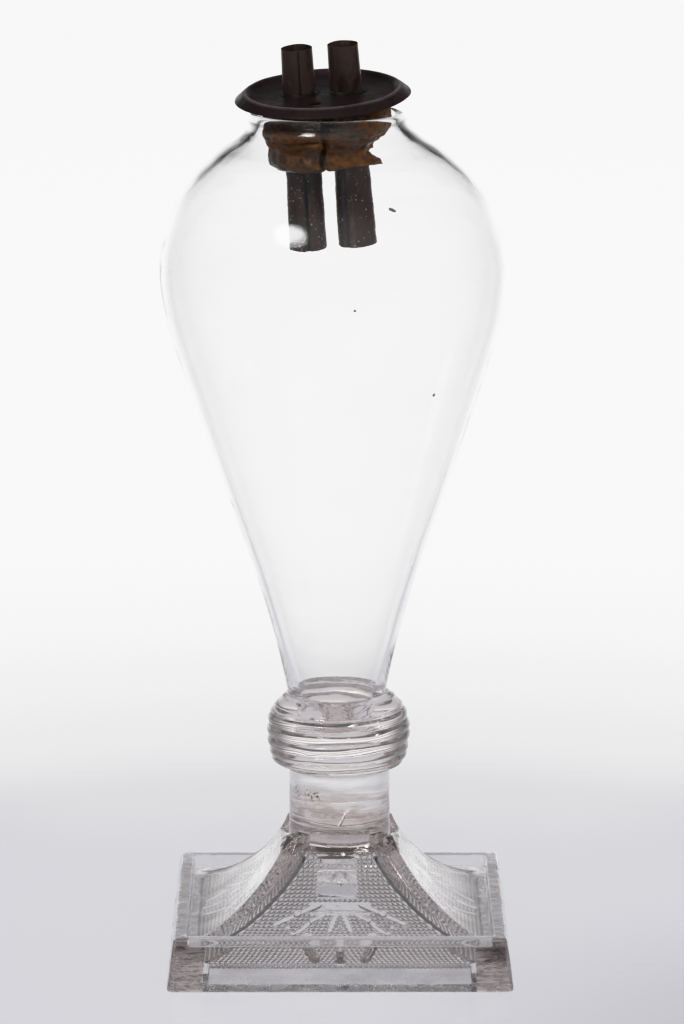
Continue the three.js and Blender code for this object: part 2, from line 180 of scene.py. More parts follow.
def new_object(name, points, faces):
    """A mesh object from points in millimetres."""
    mesh = bpy.data.meshes.new(name)
    mesh.from_pydata((np.asarray(points, float) * 0.001).tolist(), [], faces)
    made = bpy.data.objects.new(name, mesh)
    bpy.context.scene.collection.objects.link(made)
    return made


floor_radius, floor_sides, floor_level = 4000, 96, -0.3
floor_rings = [ring(floor_radius * share, around(floor_sides), floor_level) for share in (0.05, 0.2, 1)]
floor_faces = [(0, 1 + i, 1 + (i + 1) % floor_sides) for i in range(floor_sides)]
floor_faces += [face[::-1] for face in skin(floor_rings, 1)]
floor = new_object("floor", np.vstack([[(0, 0, floor_level)], *floor_rings]), floor_faces)

# How bright the sheet's painted glow is behind the lamp and to its sides, out to 2 m.
floor_reach = 2.0
pale_behind = [
    (0.0, (0.545, 0.545, 0.58)),
    (0.04, (0.54, 0.54, 0.58)),
    (0.08, (0.595, 0.595, 0.62)),
    (0.115, (0.745, 0.745, 0.755)),
    (0.152, (0.86, 0.86, 0.87)),
    (0.187, (0.99, 0.99, 1.0)),
    (0.24, (1.09, 1.09, 1.1)),
    (0.38, (1.07, 1.07, 1.075)),
    (1.0, (0.9, 0.9, 0.905)),
]
pale_aside = [
    (0.0, (0.545, 0.545, 0.58)),
    (0.06, (0.54, 0.54, 0.58)),
    (0.2, (0.3, 0.3, 0.31)),
    (0.4, (0.08, 0.08, 0.085)),
    (1.0, (0.03, 0.03, 0.03)),
]
# The pale part of floor and room begins and is full at these cosines from straight behind.
behind_edge, behind_full = 0.68, 0.92
shadow_middle = (0.15, -0.1, 0)

floor_sheet, tree, shader = new_material("floor_sheet")
where = place_in_object(tree)
sides = axes(where)
from_lamp = new_node("VectorMath", where, operation="LENGTH").outputs["Value"]
reach = spread(from_lamp, 0.0, floor_reach, smooth=False)
backward = spread(math_node("DIVIDE", sides["Y"], from_lamp), behind_edge, behind_full)
shade = blend_colours(backward, ramp(reach, pale_aside), ramp(reach, pale_behind))
base_tint = ramp(noise(where, 3.0), [(0.0, (0.19, 0.19, 0.2)), (1.0, (0.21, 0.21, 0.21))])
# Painted shade under the foot, which rests on it, and a weak painted shadow to the right in front.
out = math_node("MAXIMUM", *(math_node("ABSOLUTE", sides[way]) for way in "XY"))
under = spread(out, 0.036, 0.044, 0.9, 1.0)
shadow = spread(distance(where, shadow_middle), 0.03, 0.17, 0.78, 1.0)
under = times(under, shadow)
for colour, socket in ((shade, "Emission Color"), (base_tint, "Base Color")):
    scaled = new_node("VectorMath", colour, operation="SCALE")
    fill(scaled, Scale=under)
    plug(scaled.outputs["Vector"], shader.inputs[socket])
fill(shader, Emission_Strength=1.0, Roughness=0.22, Specular_IOR_Level=0.25)
floor.data.materials.append(floor_sheet)

world = bpy.data.worlds.new("pale_room")
bpy.context.scene.world = world
world.use_nodes = True
tree = world.node_tree
facing = axes(new_node("TexCoord", tree=tree).outputs["Generated"])
squares = (math_node("POWER", facing[way], 2.0) for way in "XY")
level_reach = math_node("SQRT", math_node("ADD", *squares))
bearing = math_node("DIVIDE", facing["Y"], level_reach)
behind = spread(bearing, behind_edge, behind_full, 0.0, 1.2)
above = spread(facing["Z"], 0.02, 0.34, 1.0, 0.0)
in_front = spread(facing["Y"], -0.85, -0.3, 1.0, 0.3)
upward = spread(facing["Z"], 0.25, 0.6, 0.12, 0.42)
total = math_node("ADD", times(behind, above), times(in_front, upward))
tint = new_node("CombineColor", total, total, times(total, 1.01))
fill(tree.nodes["Background"], Color=tint.outputs["Color"])


def soft_lamp(name, bearing, height, reach, size, power):
    """An area lamp that faces the font, from a bearing round it (0 is the camera's side)."""
    lamp = bpy.data.objects.new(name, bpy.data.lights.new(name, "AREA"))
    bpy.context.scene.collection.objects.link(lamp)
    lamp.data.shape = "ELLIPSE"
    lamp.data.size, lamp.data.size_y = size
    lamp.data.energy = power
    turn, rise = math.radians(bearing), math.radians(height)
    level = math.cos(rise)
    offset = Vector((math.sin(turn) * level, -math.cos(turn) * level, math.sin(rise)))
    lamp.location = Vector((0, 0, 0.16)) + offset * reach
    lamp.rotation_euler = offset.to_track_quat("Z", "Y").to_euler()
    lamp.visible_camera = False
    return lamp


lamp_left = soft_lamp("lamp_left", -33.4, 37.4, 1.3, (0.58, 0.34), 7.5)
# Its light fades towards the edge of its cloth.
lamp_left.data.use_nodes = True
tree = lamp_left.data.node_tree
cloth = new_node("NewGeometry", tree=tree).outputs["Parametric"]
fade = spread(distance(cloth, (0.5, 0.5, 0)), 0.22, 0.5, 1.0, 0.0)
fill(tree.nodes["Emission"], Strength=fade)
lamp_right = soft_lamp("lamp_right", 60, 35, 1.8, (0.8, 0.8), 14)
lamp_right.visible_glossy = False
lamp_right.visible_transmission = False

# The photograph holds back its brightest parts, as film does.
view = bpy.context.scene.view_settings
view.view_transform = "Standard"
view.look = "None"
view.use_curve_mapping = True
shoulder = view.curve_mapping
shoulder.white_level = (2.5, 2.5, 2.5)
bends = [(0.12, 0.3), (0.24, 0.6), (0.3, 0.735), (0.36, 0.83), (0.436, 0.9), (0.5, 0.94), (0.68, 0.97)]
for bright, shown in bends:
    shoulder.curves[3].points.new(bright, shown)
shoulder.update()
# Light passes through many walls of glass before it is lost.
cycles = bpy.context.scene.cycles
cycles.max_bounces, cycles.transmission_bounces, cycles.transparent_max_bounces = 28, 24, 32
cycles.glossy_bounces, cycles.diffuse_bounces = 12, 3
cycles.caustics_reflective = cycles.caustics_refractive = False
cycles.sample_clamp_indirect = 6

# Pressed base
# Square foot of greyish pressed glass, about 6 to 9 mm thick over a hollow. The plunger left a lacy
# ground of small diamonds with a shield, rays and petals on the inside of each face. The rim, the
# hollow-curved faces, the corner ridges and the collar are smooth on the outside.

foot_half, rim_half, groove_half = 43.5, 41.7, 38.2
face_foot, face_neck, step_inner, foot_inner = 37.0, 13.0, 37.4, 35.2
plinth_top, groove_floor, panel_top, ridge_top, base_top = 13.5, 10.5, 27.7, 32.0, 34.0
corner_cut = 4.2 / math.sqrt(2)
groove_bend, rim_bend = 0.5, 1.1
rod_shift, collar_radius = -0.1, 12.9
joint_gap = 0.02
side_steps, bend_steps = 37, 11
# A corner ridge in plan: how far its points lie across it, and how far they stand out.
ridge_across = np.array([-2.06, -1.9, -1.6, -1.1, -0.55, 0, 0.55, 1.1, 1.6, 1.9, 2.06])
ridge_bulge = np.array([0.12, 0.26, 0.36, 0.43, 0.46, 0.47, 0.46, 0.43, 0.36, 0.26, 0.12])
one_ridge = np.r_[np.zeros(side_steps), ridge_bulge / ridge_bulge.max()]


def smoothed(value, low, high):
    t = np.clip((value - low) / (high - low), 0, 1)
    return t * t * (3 - 2 * t)


def bell(away, width):
    return np.exp(-((away / width) ** 2))


def path_length(path):
    return np.r_[0, np.cumsum(np.linalg.norm(np.diff(path, axis=0), axis=1))]


def sweep_curve(foot, neck, foot_z, crest_z, cut_z, count=1200):
    """Half-widths and heights of a hollow-curved face from its foot up."""
    cut = math.asin(((crest_z - cut_z) / (crest_z - foot_z)) ** 0.75)
    turn = np.linspace(math.pi / 2, cut, count)
    half = foot - (foot - neck) * np.clip(np.cos(turn), 0, 1) ** (4 / 3)
    height = crest_z - (crest_z - foot_z) * np.sin(turn) ** (4 / 3)
    return np.stack([half, height], 1)


def even_steps(path, step):
    """The same path with points a step apart."""
    path = np.asarray(path, float)
    length = path_length(path)
    count = max(2, int(math.ceil(length[-1] / step)) + 1)
    at = np.linspace(0, length[-1], count)
    return np.stack([np.interp(at, length, path[:, k]) for k in range(path.shape[1])], 1)


def rounded(path, radius, steps):
    """A path whose inner corners are rounded by an arc-like curve."""
    path = [np.asarray(p, float) for p in path]
    made = [path[0]]
    for before, corner, after in zip(path[:-2], path[1:-1], path[2:]):
        first, second = before - corner, after - corner
        cut = min(radius, 0.45 * np.linalg.norm(first), 0.45 * np.linalg.norm(second))
        start = corner + first / np.linalg.norm(first) * cut
        stop = corner + second / np.linalg.norm(second) * cut
        for t in np.linspace(0, 1, steps + 1):
            made.append(start * (1 - t) ** 2 + corner * 2 * t * (1 - t) + stop * t * t)
    made.append(path[-1])
    return np.array(made)


def wave(x, y, z, size, seed):
    """A smooth unevenness between about -1 and 1, from points in millimetres."""
    chance = np.random.default_rng(seed)
    total = np.zeros(np.broadcast(x, y, z).shape)
    for _ in range(7):
        way = chance.normal(size=3)
        way /= np.linalg.norm(way)
        along = (way[0] * x + way[1] * y + way[2] * z) * math.tau / size
        total += np.sin(along * chance.uniform(0.6, 1.6) + chance.uniform(0, 9))
    return total / 3.2


def corner_radius(half):
    """The plinth's corners are rounder than those of the groove in it."""
    return np.interp(half, [groove_half, rim_half], [groove_bend, rim_bend])


def corner_points(half, ridged):
    """The points of one corner, from the side at y = -half round to the side at x = half."""
    middle = (half - corner_cut / 2) * math.sqrt(2) + ridge_bulge
    ridge = np.stack([middle + ridge_across, -middle + ridge_across], 1) / math.sqrt(2)
    bend = corner_radius(half)
    turn = np.linspace(-math.pi / 2, 0, bend_steps + 2)[1:-1]
    plain = np.stack([half - bend + bend * np.cos(turn), bend - half + bend * np.sin(turn)], 1)
    return ridge * ridged + plain * (1 - ridged)


def four_ways(points):
    """Copies of points turned to each side of the square."""
    for c, s in ((1, 0), (0, 1), (-1, 0), (0, -1)):
        made = points.copy()
        made[:, 0] = points[:, 0] * c - points[:, 1] * s
        made[:, 1] = points[:, 0] * s + points[:, 1] * c
        yield made


def square_ring(half, height, ridged):
    near = half - (corner_cut * ridged + corner_radius(half) * (1 - ridged))
    side = np.stack([np.linspace(-near, near, side_steps), np.full(side_steps, -half)], 1)
    flat = np.vstack(list(four_ways(np.vstack([side, corner_points(half, ridged)]))))
    return np.column_stack([flat, np.full(len(flat), height)])


plinth_corners = [(foot_inner, 0), (foot_half, 0), (rim_half, plinth_top), (groove_half, plinth_top)]
plinth_corners += [(groove_half, groove_floor), (step_inner, groove_floor)]
plinth_path = rounded(plinth_corners, 1.0, 5)
dense = [plinth_path[0]]
for start, stop in zip(plinth_path[:-1], plinth_path[1:]):
    dense.extend(even_steps([start, stop], 1.6)[1:])
outer_sweep = even_steps(sweep_curve(face_foot, face_neck, groove_floor, base_top, panel_top), 0.42)
outer = [square_ring(half, height, 0.0) for half, height in dense]
outer += [square_ring(half, height, 1.0) for half, height in outer_sweep]
outer = np.array(outer)

# The pressing left the faces a little uneven, and the ridges pitted.
pit_count, pit_depth, pit_width = 230, (-0.16, 0.1), (0.3, 0.75)
x, y, z = outer[..., 0], outer[..., 1], outer[..., 2]
size = np.maximum(np.abs(x), np.abs(y))
swell = 0.08 * wave(x, y, z, 17, 3) + 0.05 * wave(x, y, z, 5.5, 4)
on_ridge = np.tile(one_ridge, 4)[None, :] * (z > groove_floor + 0.3)
chance = np.random.default_rng(11)
pits = np.zeros(x.shape)
pit_spots = np.argwhere(on_ridge > 0.6)
for row, column in pit_spots[chance.choice(len(pit_spots), pit_count, replace=False)]:
    away = np.linalg.norm(outer - outer[row, column], axis=-1)
    wide = chance.uniform(*pit_width)
    pits += chance.uniform(*pit_depth) * bell(away, wide)
swell = swell * (z > 0.3) + pits * on_ridge
outer[..., 0] += swell * x / size
outer[..., 1] += swell * y / size


def collar_ring(height, radius):
    """A ring round the collar, with as many points as a square ring has."""
    half_ridge = math.asin(2.1 / radius)
    side = np.linspace(-3 * math.pi / 4 + half_ridge, -math.pi / 4 - half_ridge, side_steps)
    corner = -math.pi / 4 + np.arcsin(ridge_across / radius)
    quarter = np.r_[side, corner]
    turn = np.concatenate([quarter + k * math.pi / 2 for k in range(4)])
    return ring(radius, turn, height, rod_shift)


# The faces run out on a ledge round the collar, and the ridges climb further up it.
is_ridge = np.tile(np.r_[np.zeros(side_steps), np.ones(len(ridge_across))], 4)[:, None] > 0.5
crest = sweep_curve(face_foot, face_neck, groove_floor, base_top, ridge_top)
ledge_path = ((0.04, 27.8), (0.3, 28.2), (0.6, 28.7), (0.85, 29.3), (1.0, 29.9))
last, top_rings = outer[-1], []
for share, ledge in ledge_path:
    height = panel_top + (ridge_top - panel_top) * share
    half = np.interp(height, crest[:, 1], crest[:, 0])
    gone = min(share * 1.15, 1.0)
    side = last + (collar_ring(ledge, collar_radius + 0.05) - last) * gone
    uneven = wave(side[:, 0], side[:, 1], side[:, 2], 4.5, 9)
    side[:, 2] = ledge + 0.22 * uneven * math.sin(math.pi * gone)
    top_rings.append(np.where(is_ridge, square_ring(half, height, 1.0), side))
ridge_end = square_ring(np.interp(ridge_top, crest[:, 1], crest[:, 0]), ridge_top, 1.0)
for share, height, low_height in ((0.5, 32.05, 30.8), (1.0, 32.2, 31.8)):
    inward = ridge_end + (collar_ring(height, collar_radius + 0.03) - ridge_end) * share
    inward[:, 2] = height
    top_rings.append(np.where(is_ridge, inward, collar_ring(low_height, collar_radius)))
top_level = base_top - joint_gap / 2
for height, radius in ((32.6, 12.9), (33.2, 12.88), (33.7, 12.86), (33.88, 12.85), (top_level, 12.84)):
    top_rings.append(collar_ring(height, radius))
outer = np.concatenate([outer, np.array(top_rings)])
count = outer.shape[1]
base_points = [tuple(p) for p in outer.reshape(-1, 3)] + [(rod_shift, 0, top_level)]
base_faces = skin(outer)
last_row = (len(outer) - 1) * count
base_faces += [(last_row + i, last_row + (i + 1) % count, last_row + count) for i in range(count)]

# The inside, a row of points for every quarter of a diamond.
diamond, row_pitch, lace_height = 1.3, 2.5, 0.42
hollow_foot, hollow_top, hollow_cut = 34.4, 25.0, 1.5
hollow_sweep = sweep_curve(hollow_foot, 8.0, 5.75, 30.0, hollow_top)
inner_path = np.vstack([[(hollow_foot, 0.0)], hollow_sweep, [(0.0, hollow_top)]])
inner_length = path_length(inner_path)
lace_start, lace_stop = 4.6, inner_length[-2]
rows = np.r_[
    [0.45, 1.2, 2.3, 3.4, 4.1],
    np.arange(lace_start, lace_stop, row_pitch / 8),
    np.linspace(lace_stop, inner_length[-1], 14),
]
columns = np.arange(0, hollow_foot + diamond / 4, diamond / 4)


def on_hollow(lengths):
    """Half-widths and heights at lengths up the inside, from the foot."""
    return np.stack([np.interp(lengths, inner_length, inner_path[:, k]) for k in (0, 1)], 1)


inner_half, inner_z = on_hollow(rows).T
ahead = on_hollow(rows + 0.5) - on_hollow(rows - 0.5)
ahead /= np.linalg.norm(ahead, axis=1)[:, None]
# Pointing into the hollow: towards smaller half-widths and down.
inward_half, inward_z = -ahead[:, 1], ahead[:, 0]


def stroke(x, s, start, stop, width):
    """How near a point is to the line between two places: 1 on it, 0 outside its width."""
    start, stop = np.array(start, float), np.array(stop, float)
    along = stop - start
    t = ((x - start[0]) * along[0] + (s - start[1]) * along[1]) / (along @ along)
    t = np.clip(t, 0, 1)
    away = np.hypot(x - start[0] - t * along[0], s - start[1] - t * along[1])
    return np.sqrt(np.clip(1 - (away / width) ** 2, 0, 1))


# Rays, petals and studs on the lacy ground, from a face's middle: where, how wide and how high.
rays_and_petals = [
    ((1.0, 20.6), (2.7, 15.0), 0.75, 0.5),
    ((4.5, 20.8), (7.0, 19.0), 0.7, 0.5),
    ((7.0, 19.0), (10.6, 14.6), 0.75, 0.5),
    ((5.6, 24.3), (16.2, 17.8), 0.8, 0.5),
    ((6.2, 7.4), (8.2, 13.2), 1.5, 0.6),
]
studs = [(12, 14.0, 1.0), (10.9, 21.5, 1.05), (13, 16.5, 0.9)]
stud_length, stud_height = 0.05, 0.7
figures = [((0, 6.0), (0, 11.6), 1.3, 0.7)]
for side in (-1, 1):
    for (near, foot), (far, head), width, height in rays_and_petals:
        figures.append(((side * near, foot), (side * far, head), width, height))
    for out, up, width in studs:
        figures.append(((side * out, up), (side * out + stud_length, up), width, stud_height))


def lace(x, d, s):
    """Height of the pressed pattern at x across a face, d from its corner and s up from its foot."""
    p, q = d / diamond, (s - lace_start) / row_pitch
    ground = np.zeros(np.shape(d))
    for shift in (0.0, 0.5):
        beside = (p + shift - np.round(p + shift)) * diamond
        beyond = (q + shift - np.round(q + shift)) * row_pitch
        ground = np.maximum(ground, 1 - (beside / 0.66) ** 2 - (beyond / 0.8) ** 2)
    ground = lace_height * ground
    shield = smoothed(5.6 - np.abs(x + 0.75), 0, 0.6) * smoothed(s, 26.0, 26.6)
    shield = shield * smoothed(39.6 - s, 0, 0.6)
    crescent = smoothed(8.2 - np.abs(x), 0, 0.8) * smoothed(s, 20.8, 21.4)
    crescent = crescent * smoothed(25.8 - s, 0, 0.6)
    plain = np.maximum(shield, crescent)
    raised = 0.12 * shield + 0.3 * crescent * smoothed(s, 21, 23)
    for start, stop, width, height in figures:
        near = stroke(x, s, start, stop, width)
        plain = np.maximum(plain, smoothed(near, 0, 0.4))
        raised = raised + height * near
    fade = smoothed(d, 0.9, 1.9) * (s > lace_start - 0.01) * (s < lace_stop + 0.01)
    return fade * (ground * (1 - plain) + raised), fade * (1 - plain)


def hollow_half(side):
    """Points and lace marks of the left (-1) or right (1) half of the hollow's front face."""
    panel, marks = [], []
    for s, half, height, in_half, in_z in zip(rows, inner_half, inner_z, inward_half, inward_z):
        d = np.minimum(columns, half)
        cut = min(hollow_cut, half)
        across = np.where(d < cut, -half + cut / 2 + d / 2, -half + d) * -side
        out = np.where(d < cut, -half + cut / 2 - d / 2, -half)
        rise, ground = lace(across, d, s)
        panel.append(np.column_stack([across, out - in_half * rise, height + in_z * rise]))
        row = np.full(len(d), (s - lace_start) / row_pitch)
        marks.append(np.column_stack([d / diamond, row, ground, 0 * d]))
    return np.vstack(panel), np.vstack(marks)


inner_faces = []
for r in range(len(rows) - 1):
    quarter_row = int(round((rows[r] - lace_start) / (row_pitch / 8)))
    for c in range(len(columns) - 1):
        if columns[c] >= max(inner_half[r], inner_half[r + 1]):
            continue
        a, b = r * len(columns) + c, r * len(columns) + c + 1
        e, f = a + len(columns), b + len(columns)
        # Alternate diagonals, so that each diamond keeps its four slopes.
        if (quarter_row + c) % 2 == 0:
            inner_faces += [(a, b, f), (a, f, e)]
        else:
            inner_faces += [(a, b, e), (b, f, e)]
z = outer[..., 2]
ridge_marks = np.tile(one_ridge, 4) * (z > groove_floor + 0.3) * (z < ridge_top + 0.1)
base_marks = [np.column_stack([np.zeros((z.size, 3)), ridge_marks.ravel()]), np.zeros((1, 4))]
halves = [hollow_half(side) for side in (-1, 1)]
for turned in zip(*(four_ways(panel) for panel, _ in halves)):
    for panel, (_, marks) in zip(turned, halves):
        start = len(base_points)
        base_marks.append(marks)
        base_points += [tuple(p) for p in panel]
        base_faces += [tuple(start + i for i in face) for face in inner_faces]


def weld(made):
    """Joins points in the same place, drops what collapses and turns all faces outward."""
    shape = bmesh.new()
    shape.from_mesh(made.data)
    bmesh.ops.remove_doubles(shape, verts=shape.verts, dist=2e-6)
    bmesh.ops.dissolve_degenerate(shape, edges=shape.edges, dist=1e-7)
    loose = [v for v in shape.verts if not v.link_faces]
    bmesh.ops.delete(shape, geom=loose, context="VERTS")
    bmesh.ops.recalc_face_normals(shape, faces=shape.faces)
    shape.to_mesh(made.data)
    shape.free()


def by_bearing(points, ids):
    """The ids of a ring's points in the order of their bearings, and the bearings."""
    bearing = np.arctan2([points[i][1] for i in ids], [points[i][0] for i in ids])
    order = np.argsort(bearing)
    return [ids[i] for i in order], bearing[order]


def bridge_rings(points, first, second):
    """Triangles between two closed rings of different counts."""
    a, turn_a = by_bearing(points, first)
    b, turn_b = by_bearing(points, second)
    # The bearings at which each ring moves on, a whole turn past its first point at its end.
    turn_a = np.r_[turn_a[1:], turn_a[0] + math.tau, math.inf]
    turn_b = np.r_[turn_b[1:], turn_b[0] + math.tau, math.inf]
    i = j = 0
    faces = []
    while i < len(a) or j < len(b):
        if turn_a[i] <= turn_b[j]:
            faces.append((a[i % len(a)], a[(i + 1) % len(a)], b[j % len(b)]))
            i += 1
        else:
            faces.append((a[i % len(a)], b[(j + 1) % len(b)], b[j % len(b)]))
            j += 1
    return faces


def mark_points(made, label, values):
    marks = made.data.attributes.new(label, "FLOAT", "POINT")
    marks.data.foreach_set("value", np.asarray(values, np.float32))


# The flat foot that joins the outside to the hollow.
places = np.array(base_points)
skirt = {}
for i in range(outer.shape[0] * count + 1, len(places)):
    if abs(places[i, 2] - inner_z[0]) < 1e-6:
        skirt.setdefault((round(places[i, 0], 3), round(places[i, 1], 3)), i)
skirt, _ = by_bearing(places, list(skirt.values()))
edge_rings = [skirt]
for out, height in ((0.12, 0.12), (0.45, 0.0)):
    start = len(base_points)
    for x, y, _ in places[skirt]:
        grown = 1 + out / max(abs(x), abs(y))
        base_points.append((x * grown, y * grown, height))
    edge_rings.append(list(range(start, start + len(skirt))))
for a, b in zip(edge_rings[:-1], edge_rings[1:]):
    base_faces += [(a[i - 1], a[i], b[i], b[i - 1]) for i in range(len(a))]
base_faces += bridge_rings(base_points, edge_rings[-1], list(range(count)))

pressed_base = new_object("pressed_base_glass", base_points, base_faces)
base_marks = np.vstack(base_marks)
base_marks = np.vstack([base_marks, np.zeros((len(base_points) - len(base_marks), 4))])
for label, values in zip(("lace_column", "lace_row", "lace_ground", "ridge"), base_marks.T):
    mark_points(pressed_base, label, values)


def node_group(name, inputs, outputs):
    """An empty group of nodes with sockets named by kind, its given values and its output node."""
    group = bpy.data.node_groups.new(name, "ShaderNodeTree")
    for sockets, way in ((inputs, "INPUT"), (outputs, "OUTPUT")):
        for kind, labels in sockets.items():
            for label in labels:
                group.interface.new_socket(label, in_out=way, socket_type="NodeSocket" + kind)
    return group, group.nodes.new("NodeGroupInput").outputs, group.nodes.new("NodeGroupOutput")


def place_group(group, place, **values):
    """Puts a group in a material with that material's own values, and gives its outputs."""
    node = new_node("Group", place, node_tree=group)
    fill(node, **values)
    return node.outputs


# Old glass: faint cords of another tint, dust that lies in streaks, and a skin that is not quite even,
# with heights in millimetres.
old_glass, given, made = node_group(
    "old_glass",
    {
        "Vector": ["Place"],
        "Color": ["Low Tint", "High Tint"],
        "Float": ["Wave Scale", "Wave Depth", "Ripple Depth", "Least Streak"],
    },
    {"Color": ["Tint"], "Float": ["Streaks", "Skin"]},
)
cords = spread(noise(given["Place"], 60, 3, stretch=(1, 1, 2.5)), 0.38, 0.62)
waves = noise(given["Place"], given["Wave Scale"], 2, 0.5)
ripples = noise(given["Place"], 420, 2, 0.5, stretch=(1, 1, 1.8))
streaks = noise(given["Place"], 190, 3, 0.6, stretch=(1, 1, 2.4))
heights = [
    times(waves, given["Wave Depth"]),
    times(ripples, given["Ripple Depth"]),
]
fill(
    made,
    Tint=blend_colours(cords, given["Low Tint"], given["High Tint"]),
    Streaks=spread(streaks, 0.4, 0.6, given["Least Streak"], 1.0),
    Skin=math_node("ADD", *heights),
)


def clear_glass(name, tints, waves, least_streak, darkening, more_height=None):
    """Clear glass, from its two tints, the size and depth of its waves and the depth of its ripples."""
    made, tree, shader = new_material(name)
    where = place_in_object(tree)
    glass = place_group(
        old_glass,
        where,
        Low_Tint=tints[0],
        High_Tint=tints[1],
        Wave_Scale=waves[0],
        Wave_Depth=waves[1],
        Ripple_Depth=waves[2],
        Least_Streak=least_streak,
    )
    height = glass["Skin"]
    if more_height is not None:
        height = math_node("ADD", height, more_height(where))
    bump(shader, height, 0.001)
    tint = darkening(where, glass["Tint"], glass["Streaks"])
    fill(shader, Base_Color=tint, Transmission_Weight=1.0, IOR=1.5, Roughness=0.0)
    return made, tree, shader


def mark(where, label):
    """A mark on the mesh's points, for the tree that where is in."""
    return new_node("Attribute", tree=where.id_data, attribute_name=label).outputs["Fac"]


def between(value, start, full, fading, stop):
    """1 from full to fading, and 0 before start and after stop."""
    return times(spread(value, start, full), spread(value, stop, fading))


def lace_beads(where):
    """The beads of the lacy ground: 1 on top of one, 0 in the valleys between them."""
    column, row = mark(where, "lace_column"), mark(where, "lace_row")
    domes = []
    for shift in (0.0, 0.5):
        steep = []
        for value, pitch, reach in ((column, diamond, 0.6), (row, row_pitch, 0.66)):
            at = math_node("ADD", value, shift)
            away = math_node("SUBTRACT", at, math_node("ROUND", at))
            away = math_node("ABSOLUTE", times(away, pitch / reach))
            steep.append(math_node("POWER", away, 2.0))
        domes.append(math_node("SUBTRACT", 1.0, math_node("ADD", *steep)))
    dome = math_node("MAXIMUM", math_node("MAXIMUM", *domes), 0.0)
    return math_node("SQRT", dome)


def ridge_pits(where):
    return noise(where, 560, 2, 0.6)


def pressed_marks(where):
    """The beads, sharpened, and pits on the ridges and the rim, in millimetres of height."""
    beads = times(lace_beads(where), mark(where, "lace_ground"), 0.4)
    on_rim = between(axes(where)["Z"], 0.0128, 0.0132, 0.0138, 0.0142)
    depths = times(mark(where, "ridge"), 0.22), times(on_rim, 0.03)
    rough = math_node("ADD", *depths)
    pits = times(spread(ridge_pits(where), 0.5, 0.72), rough)
    return math_node("ADD", beads, pits)


def dust_and_shade(where, tint, streaks):
    """Browns, greys and a black smudge on the base, and painted shade on the ledge under the collar."""
    place = axes(where)
    out = math_node("MAXIMUM", *(math_node("ABSOLUTE", place[way]) for way in "XY"))
    valleys = math_node("SUBTRACT", 1.0, lace_beads(where))
    low = times(spread(out, 0.0354, 0.035), spread(place["Z"], 0.0052, 0.0046))
    clouds = noise(where, 60, 3, 0.6, stretch=(1, 1, 4))
    ledge = between(place["Z"], 0.0277, 0.0281, 0.0299, 0.0306)
    corner = times(
        between(place["X"], 0.0345, 0.0365, 0.041, 0.0425),
        between(place["Z"], 0.006, 0.008, 0.0112, 0.0122),
        spread(place["Y"], -0.0405, -0.0412),
    )
    smears = noise(where, 260, 3, 0.6, stretch=(1, 1, 3.5))
    for share, colour in (
        # Brown between the beads.
        (times(valleys, mark(where, "lace_ground")), (0.69, 0.645, 0.63)),
        # Brown in the pits of the ridges.
        (
            times(mark(where, "ridge"), spread(ridge_pits(where), 0.62, 0.45)),
            (0.82, 0.76, 0.73),
        ),
        # Clouded grey low inside the hollow.
        (times(low, spread(clouds, 0.35, 0.65, 0.55, 1.0)), (0.46, 0.46, 0.48)),
        # Painted shade in brown on the ledge under the collar, and brown streaks on the collar.
        (times(ledge, spread(out, 0.0095, 0.011)), (0.6, 0.55, 0.53)),
        (times(spread(place["Z"], 0.0297, 0.032), streaks), (0.69, 0.62, 0.59)),
        # A black smudge in the right front corner of the plinth.
        (times(corner, spread(smears, 0.36, 0.56, 0.4, 1.0)), (0.1, 0.08, 0.085)),
    ):
        tint = blend_colours(share, tint, colour)
    return tint


pressed_glass, tree, shader = clear_glass(
    "pressed_glass_finish",
    ((0.95, 0.945, 0.945), (1, 1, 1)),
    (90, 0.16, 0.012),
    0.35,
    dust_and_shade,
    pressed_marks,
)
where = place_in_object(tree)
place = axes(where)
# The lowest edge is rough, where the foot has been pushed about on tables.
spots = spread(noise(where, 330, 4, 0.7), 0.46, 0.56, 0.08, 0.6)
fill(shader, Roughness=times(spread(place["Z"], 0.0026, 0.0014), spots))
# The glass is smoky where it is thick.
smoke = new_node("VolumeAbsorption", (0.27, 0.1, 0.06), 9.5, tree=tree)
# Where two gathers of hot glass ran into one, nothing is seen of the level faces between them.
facing = axes(new_node("NewGeometry", tree=tree).outputs["True Normal"])
level = math_node("GREATER_THAN", math_node("ABSOLUTE", facing["Z"]), 0.95)
joined = times(level, math_node("GREATER_THAN", place["Z"], 0.0339))
through = new_node("BsdfTransparent", tree=tree).outputs["BSDF"]
surface = new_node("MixShader", joined, shader.outputs["BSDF"], through).outputs["Shader"]
fill(tree.nodes["Material Output"], Surface=surface, Volume=smoke.outputs["Volume"])


def finish_piece(made, body, nodes, material, sharp=None):
    """The CAD nodes a piece stands for, its body and material, and where its edges stay sharp."""
    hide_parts(*nodes)
    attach(made, body)
    if material is not None:
        made.data.materials.append(material)
    made.data.shade_smooth()
    if sharp is not None:
        made.data.set_sharp_from_angle(angle=math.radians(sharp))


def finish_glass(made, nodes, materials, kinds=None, sharp=None):
    """Glass casts no shadow of its own, and its faces of kind 1 have the second material."""
    for one in materials:
        made.data.materials.append(one)
    if kinds is not None:
        made.data.polygons.foreach_set("material_index", np.array(kinds, dtype=np.int32))
    weld(made)
    finish_piece(made, "lamp", nodes, None, sharp)
    made.visible_shadow = False


finish_glass(pressed_base, ["pressed_base"], [pressed_glass], sharp=50)

# Joining wafer
# A flattened drop of hot glass pressed between the pressed base and the blown stem. It ran into both,
# and only its wavy lower seam shows.

wafer_top, wafer_rows = 36.5, 34
rod_radius, round_sides = 12.84, 160
# The seam's height, and how deep and wide it is sunk.
seam_height, seam_depth, seam_width = 34.75, 0.24, 0.16
